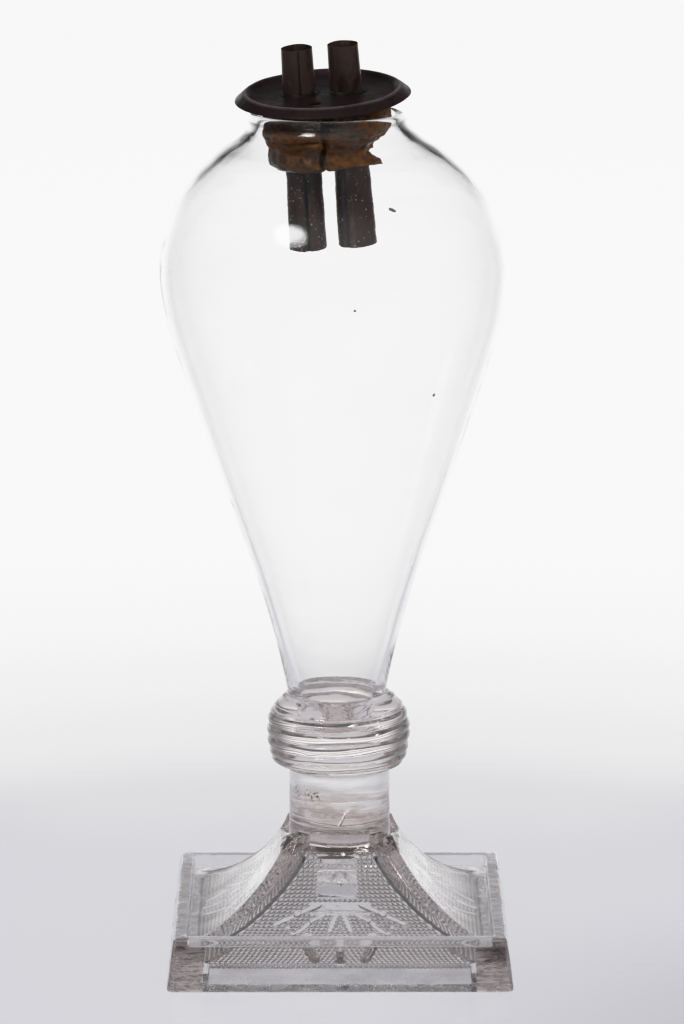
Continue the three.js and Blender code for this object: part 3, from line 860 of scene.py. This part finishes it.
# The crack starts at the seam, leans to the right and ends in the stem.
crack_foot, crack_rise, crack_lean = 34.4, 4.4, 2.4
crack_depth, crack_width = 0.42, 0.26


def closed_object(name, rings, start_kind=0, stop_kind=0):
    """An object from rings, closed by a flat face at each end, and the kinds of its faces."""
    rings = np.asarray(rings)
    count = rings.shape[1]
    points = [tuple(p) for p in rings.reshape(-1, 3)]
    faces = skin(rings)
    kinds = [0] * len(faces)
    for row, kind in ((0, start_kind), (len(rings) - 1, stop_kind)):
        points.append(tuple(rings[row].mean(axis=0)))
        for i in range(count):
            a, b = row * count + i, row * count + (i + 1) % count
            faces.append((a, b, len(points) - 1) if row else (b, a, len(points) - 1))
            kinds.append(kind)
    return new_object(name, points, faces), kinds


def rod_rings(levels, radii):
    """Rings of the rod of glass over the base, closer together in front where its crack runs."""
    by_crack = np.arange(-100, -76, 0.55) * math.pi / 180
    bearing = np.sort(np.r_[around(round_sides) - math.pi, by_crack])
    # A wavy line where wafer and base ran together, sunk a little and lipped above, mostly in front.
    seam = seam_height + 0.3 * np.sin(2 * bearing + 0.6) + 0.16 * np.sin(5 * bearing)
    seam = seam + 0.07 * np.sin(13 * bearing)
    open_seam = 0.12 + 0.88 * smoothed(-np.sin(bearing), 0.1, 0.7)
    rings = []
    for level, radius in zip(levels, radii):
        lip, sunk = bell(level - seam - 0.42, 0.2), bell(level - seam, seam_width)
        out = radius + open_seam * (0.07 * lip - seam_depth * sunk)
        in_rod = smoothed(level, 34.3, 36.4) * (1 - smoothed(level, 45, 47))
        out = out + 0.03 * np.sin(3 * bearing + level * 0.9) * in_rod
        t = np.clip((level - crack_foot) / crack_rise, 0, 1)
        away = rod_shift + out * np.cos(bearing) - (crack_lean * t - 0.5)
        crack = bell(away, crack_width) * (bearing < 0) * (t > 0)
        out = out - crack_depth * crack * (1 - smoothed(level, 38.3, 38.9))
        rings.append(ring(out, bearing, level, rod_shift))
    return np.array(rings)


wafer_levels = np.linspace(base_top + joint_gap / 2, wafer_top - joint_gap / 2, wafer_rows)
wafer_rings = rod_rings(wafer_levels, np.full(wafer_rows, rod_radius))
wafer, _ = closed_object("joining_wafer_glass", wafer_rings)
finish_glass(wafer, ["joining_wafer"], [pressed_glass])

# Stem
# A short solid rod of clear glass, drawn out between wafer and knop while it was hot. A crack runs up
# from its seam, and a few dark specks of dirt are in it.

stem_top = 48.0
stem_heights = [wafer_top, 42, 46.9, 47.4, 47.8, stem_top]
stem_radii = [rod_radius, 12.78, 12.8, 12.76, 12.6, 12.4]
stem_levels = np.r_[
    wafer_top + joint_gap / 2,
    np.linspace(36.65, 39.2, 24),
    np.linspace(39.7, 46.9, 16),
    [47.4, 47.8, stem_top - joint_gap / 2],
]
stem_rings = rod_rings(stem_levels, np.interp(stem_levels, stem_heights, stem_radii))
stem, kinds = closed_object("stem_glass", stem_rings, 1, 1)

font_flecks = [
    ((0.0124, -0.0349, 0.1969), 0.0006),
    ((0.01285, -0.03475, 0.1966), 0.0006),
    ((0.0133, -0.0346, 0.1963), 0.0005),
    ((0.0036, -0.0436, 0.1731), 0.0004),
    ((0.0232, -0.0291, 0.1495), 0.00055),
]
speck_patch = [(-0.0107, -0.0071, 0.0423), (-0.0085, -0.0097, 0.0426), (-0.0063, -0.0112, 0.042)]


def dirt_and_tint(where, tint, streaks):
    """A brown cast low in the stem and in the knop, dark flecks on the font and specks in the stem."""
    up = axes(where)["Z"]
    in_stem = spread(up, 0.0482, 0.0476)
    cloudy = times(spread(up, 0.0445, 0.038, 0.18, 1.0), in_stem, streaks)
    tint = blend_colours(cloudy, tint, (0.5, 0.42, 0.39))
    in_knop = between(up, 0.0475, 0.0485, 0.066, 0.068)
    tint = blend_colours(in_knop, tint, (0.89, 0.84, 0.82))
    dark = 0.0
    for spot, reach in font_flecks:
        fleck = spread(distance(where, spot), reach, reach * 0.7)
        dark = math_node("MAXIMUM", dark, fleck)
    nearest = 1.0
    for spot in speck_patch:
        nearest = math_node("MINIMUM", nearest, distance(where, spot))
    specks = spread(noise(where, 1300, 2, 0.6), 0.51, 0.6)
    specks = times(specks, spread(nearest, 0.0025, 0.0008))
    dark = math_node("MAXIMUM", dark, specks)
    return blend_colours(dark, tint, (0.01, 0.008, 0.012))


blown_glass, _, _ = clear_glass(
    "blown_glass_finish", ((0.985, 0.985, 0.985), (1, 1, 1)), (70, 0.1, 0.006), 0.2, dirt_and_tint
)
blown_joint, tree, shader = new_material("blown_glass_joint")
through = new_node("BsdfTransparent", tree=tree)
fill(tree.nodes["Material Output"], Surface=through.outputs["BSDF"])
tree.nodes.remove(shader)
finish_glass(stem, ["stem"], [blown_glass, blown_joint], kinds)

# Knop
# A solid bulb of clear glass with a thread wound round it: three close turns low down and three wider
# ones above, under a smooth shoulder. The thread is melted in, so only rounded ribs show.

knop_middle, knop_top, knop_sides = -0.35, 67.3, 240
font_tail, font_rise, font_radius = 52.8, 163.2, 44.0
mouth_radius, lip_thickness, lip_height = 16.75, 3.0, 214.5
font_rises = [
    0, 0.004, 0.0165, 0.035, 0.0888, 0.169, 0.265, 0.3607, 0.4556, 0.55, 0.6442, 0.7067, 0.763, 0.8132,
    0.8628, 0.8996, 0.9247,
]
font_widths = [
    0, 0.115, 0.2, 0.236, 0.282, 0.348, 0.448, 0.566, 0.689, 0.809, 0.927, 0.983, 1, 0.971,
    0.898, 0.805, 0.711,
]
neck_shares = [(0.291, 0.68), (0.5825, 0.273), (0.777, 0.0866), (1, 0)]


def font_outline(steps):
    """Points, with their directions, up the outside of the font in section."""
    knots = [(w * font_radius, font_tail + r * font_rise) for r, w in zip(font_rises, font_widths)]
    shoulder = knots[-1]
    lip_outer = mouth_radius + lip_thickness
    for rise, narrowing in neck_shares:
        radius = lip_outer + (shoulder[0] - lip_outer) * narrowing
        knots.append((radius, shoulder[1] + (lip_height - shoulder[1]) * rise))
    knots = np.array(knots)
    last = len(knots) - 1
    places, ways = [], []
    for t in np.linspace(0, last, steps):
        i = min(int(t), last - 1)
        t -= i
        p = [knots[max(0, min(last, i + k))] for k in (-1, 0, 1, 2)]
        v0, v1 = (p[2] - p[0]) / 2, (p[3] - p[1]) / 2
        a, b = 2 * p[1] - 2 * p[2] + v0 + v1, -3 * p[1] + 3 * p[2] - 2 * v0 - v1
        places.append(a * t**3 + b * t**2 + v0 * t + p[1])
        way = 3 * a * t**2 + 2 * b * t + v0
        ways.append(way / np.linalg.norm(way))
    return np.array(places), np.array(ways)


def font_shift(height):
    share = np.clip((height - font_tail) / font_rise, 0, 1)
    return -0.7 - 0.9 * share - 1.7 * share**16


font_places, font_ways = font_outline(190)
font_radii, font_heights = font_places.T

bulb_heights = [48.01, 48.08, 48.3, 49.05, 50.1, 51.2, 54.1, 56.9, 59, 61.9, 64.3, 66.5, 67.1, 67.3]
bulb_radii = [12.4, 13.3, 14.4, 16.3, 17.1, 17.5, 18.0, 18.4, 18.3, 17.75, 16.3, 14.2, 13.1, 12.62]
notch_heights = [46.7, 48.8, 50.9, 53.1, 56.2, 59.3, 62.4, 65.5]
notch_depth = ([48, 53, 57, 63], [0.55, 0.6, 0.8, 0.82])
# The thread's tail: a small lump left in front.
blob_bearing, blob_height, blob_rise = math.radians(-114), 53.2, 0.35

turn = around(knop_sides) - math.pi
rings = [ring(12.4, turn, stem_top + joint_gap / 2, rod_shift), ring(12.9, turn, 48.04, rod_shift)]
for height in np.linspace(48.12, 67.0, 130):
    count_at = np.interp(height, notch_heights, np.arange(8.0)) - (turn + math.pi) / math.tau
    depth = np.interp(height, *notch_depth) * smoothed(count_at, 0.15, 0.6)
    depth = depth * (1 - smoothed(count_at, 5.85, 6.1))
    rib = np.interp(height, bulb_heights, bulb_radii)
    rib = rib - depth * (1 - np.abs(np.sin(math.pi * count_at)) ** 0.6)
    blob = bell((turn - blob_bearing) * 18, 2.0) * bell(height - blob_height, 1.5)
    rib = rib + blob_rise * blob + 0.05 * np.sin(5 * turn + height)
    middle = rod_shift + (knop_middle - rod_shift) * smoothed(height, 48.1, 49.5)
    rings.append(ring(rib, turn, height, middle))
rings += [ring(13.0, turn, 67.2, knop_middle), ring(12.72, turn, 67.29, font_shift(knop_top))]
socket_radius = np.interp(knop_top, font_heights, font_radii)
rings.append(ring(socket_radius + joint_gap, turn, knop_top, font_shift(knop_top)))
outside_rows = len(rings)
for radius, height in font_places[font_heights < knop_top][:0:-1]:
    rings.append(ring(radius + joint_gap, turn, height - joint_gap, font_shift(height)))
knop, kinds = closed_object("knop_glass", rings, 1, 1)
joined = slice((outside_rows - 1) * knop_sides, (len(rings) - 1) * knop_sides)
kinds[joined] = [1] * len(kinds[joined])
finish_glass(knop, ["knop_core", "knop_thread"], [blown_glass, blown_joint], kinds)

# Font
# The blown oil reservoir: a thin clear shell, thick only at its tail and neck. Its tail is fused into
# the knop, and its lip was rounded in the fire.

thin_wall, thick_wall, tail_wall = 1.4, 2.8, 1.0
lip_middle, lip_steps = mouth_radius + lip_thickness / 2, 12

profile = [(radius, height, int(height < knop_top)) for radius, height in font_places[1:]]
for bend in np.arange(1, lip_steps) * math.pi / lip_steps:
    radius = lip_middle + lip_thickness / 2 * math.cos(bend)
    profile.append((radius, lip_height + lip_thickness / 2 * math.sin(bend), 0))
share = np.linspace(0, 1, len(font_places))
wall = thin_wall + (thick_wall - thin_wall) * np.abs(2 * share - 1) ** 2
wall = wall + tail_wall * (1 - smoothed(font_heights, 58, 80))
inside = font_places + np.stack([-font_ways[:, 1] * wall, font_ways[:, 0] * wall], 1)
inside = inside[inside[:, 0] > 0.3]
inside[-1] = (mouth_radius, lip_height)
profile += [(radius, height, 0) for radius, height in inside[::-1]]
turn = around(round_sides)
rings = []
for radius, height, _ in profile:
    uneven = 0.06 * np.sin(2 * turn + height * 0.03) + 0.04 * np.sin(3 * turn - height * 0.05)
    uneven = uneven * smoothed(height, 80, 120) * (1 - smoothed(height, 200, 212))
    if radius < np.interp(height, font_heights, font_radii) - 1:
        # The floor of the cavity is more uneven.
        ripple = 0.16 * np.sin(3 * turn + 0.5 * height) + 0.08 * np.sin(7 * turn - height)
        uneven = uneven + ripple * (1 - smoothed(height, 60, 68)) * min(radius / 6, 1)
    rings.append(ring(radius + uneven, turn, height, font_shift(height)))
font, kinds = closed_object("font_glass", rings, 1, 0)
for row, (low, high) in enumerate(zip(profile[:-1], profile[1:])):
    if low[2] and high[2]:
        kinds[row * round_sides : (row + 1) * round_sides] = [1] * round_sides
finish_glass(font, ["font"], [blown_glass, blown_joint], kinds)

# Cork
# The stopper that holds the burner: old cork, dark with oil, cracked across and down, with a bore for
# each tube.

# How far the burner leans, in degrees, and where its disc is from the middle of the mouth.
lean_forward, lean_left = 6.85, 3.2
burner_aside, burner_rise = 0.85, 5.6
to_left = Matrix.Rotation(math.radians(-lean_left), 4, "Y")
burner_lean = Matrix.Rotation(math.radians(lean_forward), 4, "X") @ to_left
burner_axis = burner_lean @ Vector((0, 0, 1))
mouth_middle = Vector((font_shift(lip_height) - burner_aside, 0, lip_height))
burner_origin = mouth_middle + burner_axis * burner_rise
burner_place = Matrix.Translation(burner_origin * 0.001) @ burner_lean

tube_spacing, tube_forward = 9.6 + 2.15, 2.2
tube_head, tube_foot = 7.75, 9.6
tube_top, tube_length = 12.6, 51.4
tube_sides = {
    "left": {"place": -tube_spacing / 2, "splay": 0.0, "drop": 0.35, "seam": 8.0},
    "right": {"place": tube_spacing / 2, "splay": 1.1, "drop": 0.0, "seam": -25.0},
}


def tube_radius(height):
    return (tube_head + (tube_foot - tube_head) * (tube_top - height) / tube_length) / 2


def in_place(made, side=None):
    """Moves a piece from the burner's own frame, or a tube's, to where it stands in the lamp."""
    place = burner_place
    if side is not None:
        facts = tube_sides[side]
        lean = Matrix.Rotation(math.radians(-facts["splay"]), 4, "Y")
        offset = (facts["place"] * 0.001, tube_forward * 0.001, 0)
        place = place @ Matrix.Translation(offset) @ lean
    made.data.transform(place)
    made.data.update()
    weld(made)


def lathe(profile, sides):
    """Rings round an upright axis, from radii and heights."""
    return np.array([ring(radius, around(sides), height) for radius, height in profile])


def cut_away(made, *cutters):
    """Cuts each cutter's shape out of a piece, and removes the cutters."""
    for cutter in cutters:
        modifier = made.modifiers.new("cut", "BOOLEAN")
        modifier.operation = "DIFFERENCE"
        modifier.solver = "EXACT"
        modifier.object = cutter
    bpy.context.view_layer.update()
    cut = bpy.data.meshes.new_from_object(made.evaluated_get(bpy.context.evaluated_depsgraph_get()))
    made.modifiers.clear()
    old = made.data
    made.data = cut
    bpy.data.meshes.remove(old)
    for cutter in cutters:
        bpy.data.objects.remove(cutter)


def bore(side, low, high, slack):
    cutter, _ = closed_object("bore", lathe([(tube_radius(z) + slack, z) for z in (low, high)], 64))
    in_place(cutter, side)
    return cutter


cork_top, cork_length, cork_clearance = -0.2, 16.0, 0.4
cork_rows, cork_sides = 90, 240
cork_radius = (mouth_radius - cork_clearance) * burner_axis.z
cork_downs = [0, 0.47, 0.58, 0.68, 0.76, 0.87, 0.95, 1]
cork_girths = [1, 1, 0.97, 0.925, 0.89, 0.89, 0.87, 0.8]
crack_bearing, flake_bearing, bite_bearing = math.radians(-91.2), -0.6, -0.25

down = np.linspace(0, 1, cork_rows)
girth = np.interp(down, cork_downs, cork_girths) * cork_radius
rings = lathe(zip(girth, cork_top - cork_length * down), cork_sides)
x, y, z = rings[..., 0], rings[..., 1], rings[..., 2]
turn = np.arctan2(y, x)
rough = 0.12 * wave(x, y, z * 0.7, 3.2, 21) + 0.1 * wave(x, y, z, 1.6, 22)
rough = rough + 0.18 * wave(x, y, z * 2.0, 7, 23)
crack = 1.9 * bell((turn - crack_bearing + 0.05 * np.sin(z * 0.8)) * 16, 0.75)
split = 0.3 * bell(z + 9.6 + 0.45 * np.sin(2 * turn + 1) + 0.25 * np.sin(5 * turn), 0.42)
chips = np.zeros(x.shape)
for _ in range(26):
    at, level = chance.uniform(-math.pi, math.pi), chance.uniform(-15.5, -1)
    size = chance.uniform(0.5, 1.4)
    beside = np.angle(np.exp(1j * (turn - at))) * 15
    chips += chance.uniform(0.2, 0.6) * bell(beside, size) * bell(z - level, size * 0.7)
# Low down on the right a piece has broken away, and a flake stands off.
from_flake = turn - flake_bearing
flake = 5.4 * bell(from_flake, 0.16) * bell(z + 14.9 - 1.2 * from_flake, 0.27)
broken = 2.6 * smoothed(-z, 15.1, 15.7) * smoothed(np.cos(from_flake), 0.35, 0.6)
bite = 3.2 * smoothed(-z, 10.2, 13.8) * bell(turn - bite_bearing, 0.6)
inset = 0.25 + rough * 0.8 + crack + split + chips + broken + bite
shrink = 1 + (flake - np.clip(inset, 0, 5)) / np.hypot(x, y)
rings[..., 0] = x * shrink + burner_aside - 1.0 * smoothed(-z, 5.5, 9.5)
rings[..., 1] = y * shrink
ends = []
for end in (rings[0], rings[-1]):
    middle = end.mean(axis=0)
    ends.append([middle + (end - middle) * share for share in (0.9, 0.65, 0.35)])
cork, _ = closed_object("cork_stopper", [*ends[0][::-1], *rings, *ends[1]])
in_place(cork)
cut_away(cork, bore("left", -20, 3, 0.15), bore("right", -20, 3, 0.15))

# Mottling: coarse patches with a finer grain in them.
mottle, given, made = node_group(
    "mottle",
    {"Vector": ["Place", "Stretch"], "Float": ["Coarse Scale", "Fine Scale", "Fine Share"]},
    {"Float": ["Coarse", "Mixed"]},
)
coarse = noise(given["Place"], given["Coarse Scale"], 4, 0.6, given["Stretch"])
fine = noise(given["Place"], given["Fine Scale"], 3, 0.6, given["Stretch"])
finer = times(math_node("SUBTRACT", fine, coarse), given["Fine Share"])
fill(made, Coarse=coarse, Mixed=math_node("ADD", coarse, finer))


def place_mottle(where, stretch, coarse_scale, fine_scale, fine_share):
    sizes = {"Coarse_Scale": coarse_scale, "Fine_Scale": fine_scale, "Fine_Share": fine_share}
    return place_group(mottle, where, Stretch=stretch, **sizes)


cork_browns = [
    (0.3, (0.02, 0.008, 0.003)),
    (0.44, (0.12, 0.047, 0.013)),
    (0.56, (0.24, 0.098, 0.026)),
    (0.75, (0.42, 0.2, 0.06)),
]
cork_bark, tree, shader = new_material("oiled_cork")
grain = place_mottle(place_in_object(tree), (1, 1, 2.2), 110.0, 420.0, 0.45)
shine = spread(grain["Coarse"], 0.35, 0.65, 0.35, 0.75)
fill(shader, Base_Color=ramp(grain["Mixed"], cork_browns), Roughness=shine)
bump(shader, grain["Mixed"], 0.0006, 0.8)
finish_piece(cork, "burner", ["cork"], cork_bark)

# Burner disc
# Sheet tin pressed into a shallow dish: an edge turned down, a round ridge and a sunk middle, with a
# vent hole and a hole for each tube. Japanned brown once, now worn to dull metal.

disc_radii = [
    0.8, 6, 12, 16.6, 17.6, 18.1, 18.5, 18.85, 19.15, 19.45, 19.8, 20.3, 20.9, 21.5, 21.95, 22.1,
    21.6, 21.2, 20.5, 19.9, 19.5, 19.2, 18.8, 18.4, 18.0, 17.5, 12, 6, 0.8,
]
disc_heights = [
    0.6, 0.6, 0.58, 0.6, 0.66, 0.9, 1.35, 1.8, 2.05, 2.1, 1.98, 1.6, 1.08, 0.55, 0.2, 0.02,
    0.0, 0.3, 0.95, 1.42, 1.58, 1.5, 1.1, 0.5, 0.2, 0.1, 0.1, 0.1, 0.1,
]
ridge_radius, vent_radius, vent_sides = 19.5, 1.6, 28
vent_across, vent_forward = -2, -9.3

rings = lathe(zip(disc_radii, disc_heights), 256)
x, y, z = rings[..., 0], rings[..., 1], rings[..., 2]
from_middle = np.hypot(x, y)
dished = 0.07 * wave(x, y, 0 * z, 16, 31) * smoothed(from_middle, 3, 12)
z += dished + 0.02 * wave(x, y, 0 * z, 5, 32)
disc, _ = closed_object("burner_disc_tin", rings)
# A painted highlight along the top of the ridge.
ridge_line = bell(from_middle - ridge_radius, 0.3) * (z > 1.7)
mark_points(disc, "painted_highlight", np.r_[ridge_line.ravel(), 0, 0])
mark_points(disc, "darkening", np.zeros(ridge_line.size + 2))
in_place(disc)
turn = around(vent_sides)
rings = np.array([ring(vent_radius, turn, level) for level in (-1.0, 2.0)])
rings[..., 0] = vent_across + rings[..., 0] * (1 + 0.05 * np.sin(3 * turn))
rings[..., 1] += vent_forward
vent, _ = closed_object("vent", rings)
in_place(vent)
cut_away(disc, bore("left", -1, 2, 0.1), bore("right", -1, 2, 0.1), vent)

# Old japanned tin: a brown-black coat over grey metal, stained and speckled, with a pale painted
# highlight on what stands out, and black with dirt in the seams.
painted_highlight_colour, speck_white, dirt_black = (0.42, 0.33, 0.36), (0.75, 0.72, 0.7), (0.002, 0.0015, 0.001)
worn_tin_and_highlight, given, made = node_group(
    "worn_tin_and_highlight",
    {
        "Vector": ["Place", "Stretch"],
        "Color": ["Dark", "Middle", "Pale"],
        "Float": ["Rubbed", "Dirt", "Speck Share", "Low Roughness", "High Roughness"],
    },
    {"Color": ["Tint"], "Float": ["Roughness", "Metal", "Height"]},
)
stains = place_mottle(given["Place"], given["Stretch"], 170.0, 900.0, 0.25)
# The painted highlight, broken up by the stains.
painted_highlight = times(given["Rubbed"], spread(stains["Coarse"], 0.3, 0.65, 0.35, 1.0))
dots = new_node("TexVoronoi", given["Place"])
fill(dots, Scale=1000)
rare = spread(noise(given["Place"], 260, 2), 0.42, 0.6)
specks = times(spread(dots.outputs["Distance"], 0.28, 0.12), rare)
coat = given["Dark"]
for share, colour in (
    (spread(stains["Mixed"], 0.3, 0.5), given["Middle"]),
    (spread(stains["Mixed"], 0.5, 0.72), given["Pale"]),
    (painted_highlight, painted_highlight_colour),
    (times(specks, given["Speck Share"]), speck_white),
    (given["Dirt"], dirt_black),
):
    coat = blend_colours(share, coat, colour)
metal = spread(stains["Mixed"], 0.45, 0.65, 0.35, 0.85)
metal = math_node("MAXIMUM", math_node("SUBTRACT", metal, given["Dirt"]), 0.0)
roughness = (given["Low Roughness"], given["High Roughness"])
roughness = spread(stains["Coarse"], 0.3, 0.7, *roughness)
fill(made, Tint=coat, Roughness=roughness, Metal=metal, Height=stains["Mixed"])


def tin_coat(name, dark, middle, pale, speck_share, roughness, stretch):
    """The coat in one piece's colours; white specks only where oil stood, below the disc."""
    made, tree, shader = new_material(name)
    where = place_in_object(tree)
    coat = place_group(
        worn_tin_and_highlight,
        where,
        Stretch=stretch,
        Dark=dark,
        Middle=middle,
        Pale=pale,
        Rubbed=mark(where, "painted_highlight"),
        Dirt=mark(where, "darkening"),
        Speck_Share=spread(axes(where)["Z"], 0.212, 0.19, 0.0, speck_share),
        Low_Roughness=roughness[0],
        High_Roughness=roughness[1],
    )
    fill(shader, Base_Color=coat["Tint"], Roughness=coat["Roughness"], Metallic=coat["Metal"])
    bump(shader, coat["Height"], 0.00035, 0.7)
    return made


disc_colours = (0.012, 0.005, 0.006), (0.032, 0.016, 0.017), (0.09, 0.056, 0.06)
disc_tin = tin_coat("disc_tin", *disc_colours, 0.0, (0.3, 0.5), (1, 1, 1))
finish_piece(disc, "burner", ["burner_disc"], disc_tin, sharp=45)

# Wick tubes
# Two tubes rolled from tin sheet, with a lapped open seam down the front, wider towards their feet.
# They pass through disc and cork and are soldered into the disc.

sheet, lap_length = 0.3, 0.75
arc_steps, tube_rows = 72, 70
tube_colours = (0.025, 0.014, 0.0115), (0.077, 0.047, 0.039), (0.22, 0.16, 0.137)
tube_tin = tin_coat("tube_tin", *tube_colours, 1.0, (0.35, 0.55), (1, 1, 0.35))


def rolled_tube(side, seed):
    facts = tube_sides[side]
    lap = np.linspace(0, 1, arc_steps)
    seam_at = -math.pi / 2 + math.radians(facts["seam"])
    rings = []
    for down in np.linspace(0, 1, tube_rows):
        height = tube_top - tube_length * down
        turn = seam_at + lap * (math.tau + lap_length / tube_radius(height))
        # One edge is tucked under the other, and stands off it a little less towards the top.
        tuck = sheet + 0.1 + 0.04 * math.sin(height * 0.21 + seed) + 0.24 * down
        dent = 0.05 * np.sin(2 * turn + height * 0.05 + seed) + 0.03 * np.sin(3 * turn - height * 0.12)
        out = tube_radius(height) - tuck * smoothed(lap, 0.92, 0.985) + dent
        lip = 0.12 if tube_top - height < 0.4 else 0.0
        level = height - facts["drop"]
        edge = np.vstack([ring(out, turn, level), ring(out - sheet + lip, turn, level)[::-1]])
        if down == 0:
            edge[:, 2] += 0.06 * np.sin(edge[:, 0] * 0.9 + seed)
        rings.append(edge)
    count = 2 * arc_steps
    faces = skin(rings)
    for first in (0, (tube_rows - 1) * count):
        for i in range(arc_steps - 1):
            a, b = first + i, first + count - 2 - i
            faces.append((a, a + 1, b, b + 1))
    made = new_object("wick_tube_tin_" + side, np.vstack(rings), faces)
    lap = np.r_[lap, lap[::-1]]
    down_tube = np.linspace(0, 1, tube_rows)[:, None]
    in_seam = smoothed(lap, 0.935, 0.955) + 0.7 * (1 - smoothed(lap, 0.0, 0.014))
    in_seam = in_seam[None, :] * (0.12 + 0.88 * smoothed(down_tube, 0.2, 0.5))
    mark_points(made, "darkening", in_seam.ravel())
    mark_points(made, "painted_highlight", 0 * in_seam.ravel())
    in_place(made, side)
    finish_piece(made, "burner", ["wick_tube_" + side], tube_tin, sharp=40)


rolled_tube("left", 1.0)
rolled_tube("right", 3.0)

# Solder
# A ring of soft solder round each tube where it leaves the disc, run on by hand, with a lump beside the
# left one.

solder_foot, solder_reach, solder_sides = 0.6, 1.05, 128
solder_greys = [(0.3, (0.012, 0.009, 0.009)), (0.7, (0.08, 0.07, 0.07))]

solder_grey, tree, shader = new_material("soft_solder")
dull = place_mottle(place_in_object(tree), (1, 1, 1), 500.0, 1600.0, 0.3)["Mixed"]
shine = spread(dull, 0.3, 0.7, 0.55, 0.3)
fill(shader, Base_Color=ramp(dull, solder_greys), Roughness=shine, Metallic=0.8)
bump(shader, dull, 0.0003, 0.8)


def solder_ring(side, seed, lump_at, lump):
    turn = around(solder_sides)
    bead = 1 + 0.18 * np.sin(3 * turn + seed) + 0.1 * np.sin(7 * turn + 2 * seed)
    bead = bead + lump * bell(np.angle(np.exp(1j * (turn - lump_at))), 0.3)
    inner = tube_radius(solder_foot) - 0.02
    rings = []
    for t in [*np.linspace(0, 1, 9), 0.66, 0.33, 0.0]:
        on_top = len(rings) < 9
        level = solder_foot + 0.02 + 0.6 * bead * (1 - t) ** 1.6 if on_top else solder_foot
        rings.append(ring(inner + solder_reach * t * np.minimum(bead, 1.15), turn, level))
    faces = skin(rings + [rings[0]])
    points = np.vstack(rings)
    faces = [tuple(i % len(points) for i in face) for face in faces]
    made = new_object("solder_" + side, points, faces)
    in_place(made, side)
    finish_piece(made, "burner", ["tube_solder_" + side], solder_grey)


solder_ring("left", 0.4, -0.55, 0.9)
solder_ring("right", 2.1, -2.4, 0.2)

# Wicks
# Round braided cotton cord, soaked with oil and charred at its end. It stands in its tube by friction,
# a little below the tube's top.

wick_length, wick_depth, wick_sides, wick_rows = 40, 2.5, 96, 200
strand_depth, strand_pitch = 0.42, 1.15
wick_radius = tube_head / 2 - 0.45 - strand_depth
cotton_browns = [(0.35, (0.12, 0.08, 0.045)), (0.65, (0.34, 0.27, 0.18))]
soot_blacks = [(0.35, (0.004, 0.0035, 0.003)), (0.65, (0.03, 0.025, 0.022))]

wick_cotton, tree, shader = new_material("charred_cotton")
where = place_in_object(tree)
mixed = place_mottle(where, (1, 1, 0.3), 240.0, 1400.0, 0.5)["Mixed"]
charred = spread(axes(where)["Z"], 0.218, 0.229)
tint = blend_colours(charred, ramp(mixed, cotton_browns), ramp(mixed, soot_blacks))
fill(shader, Base_Color=tint, Roughness=0.95)
bump(shader, mixed, 0.0004, 0.8)


def braided_wick(side, seed):
    turn = around(wick_sides)
    top = tube_top - wick_depth - tube_sides[side]["drop"]
    rings = []
    for level in np.linspace(top - wick_length, top, wick_rows):
        one = np.abs(np.sin(4 * turn + level * strand_pitch))
        other = np.abs(np.sin(4 * turn - level * strand_pitch + math.pi / 4))
        strand = np.maximum(one, other) ** 0.8
        end = smoothed(level, top - 1.2, top)
        out = wick_radius - strand_depth * (1 - strand) - 0.5 * end**2
        rings.append(ring(out, turn, level))
    for share in (0.75, 0.5, 0.25):
        fray = 0.25 * np.sin(5 * turn + seed + 7 * share) * share
        rings.append(ring(out * share, turn, top - 0.1 + fray - 0.25 * share))
    made, _ = closed_object("wick_cotton_" + side, rings)
    in_place(made, side)
    finish_piece(made, "wick_" + side, ["wick_" + side], wick_cotton)


braided_wick("left", 0.0)
braided_wick("right", 2.0)
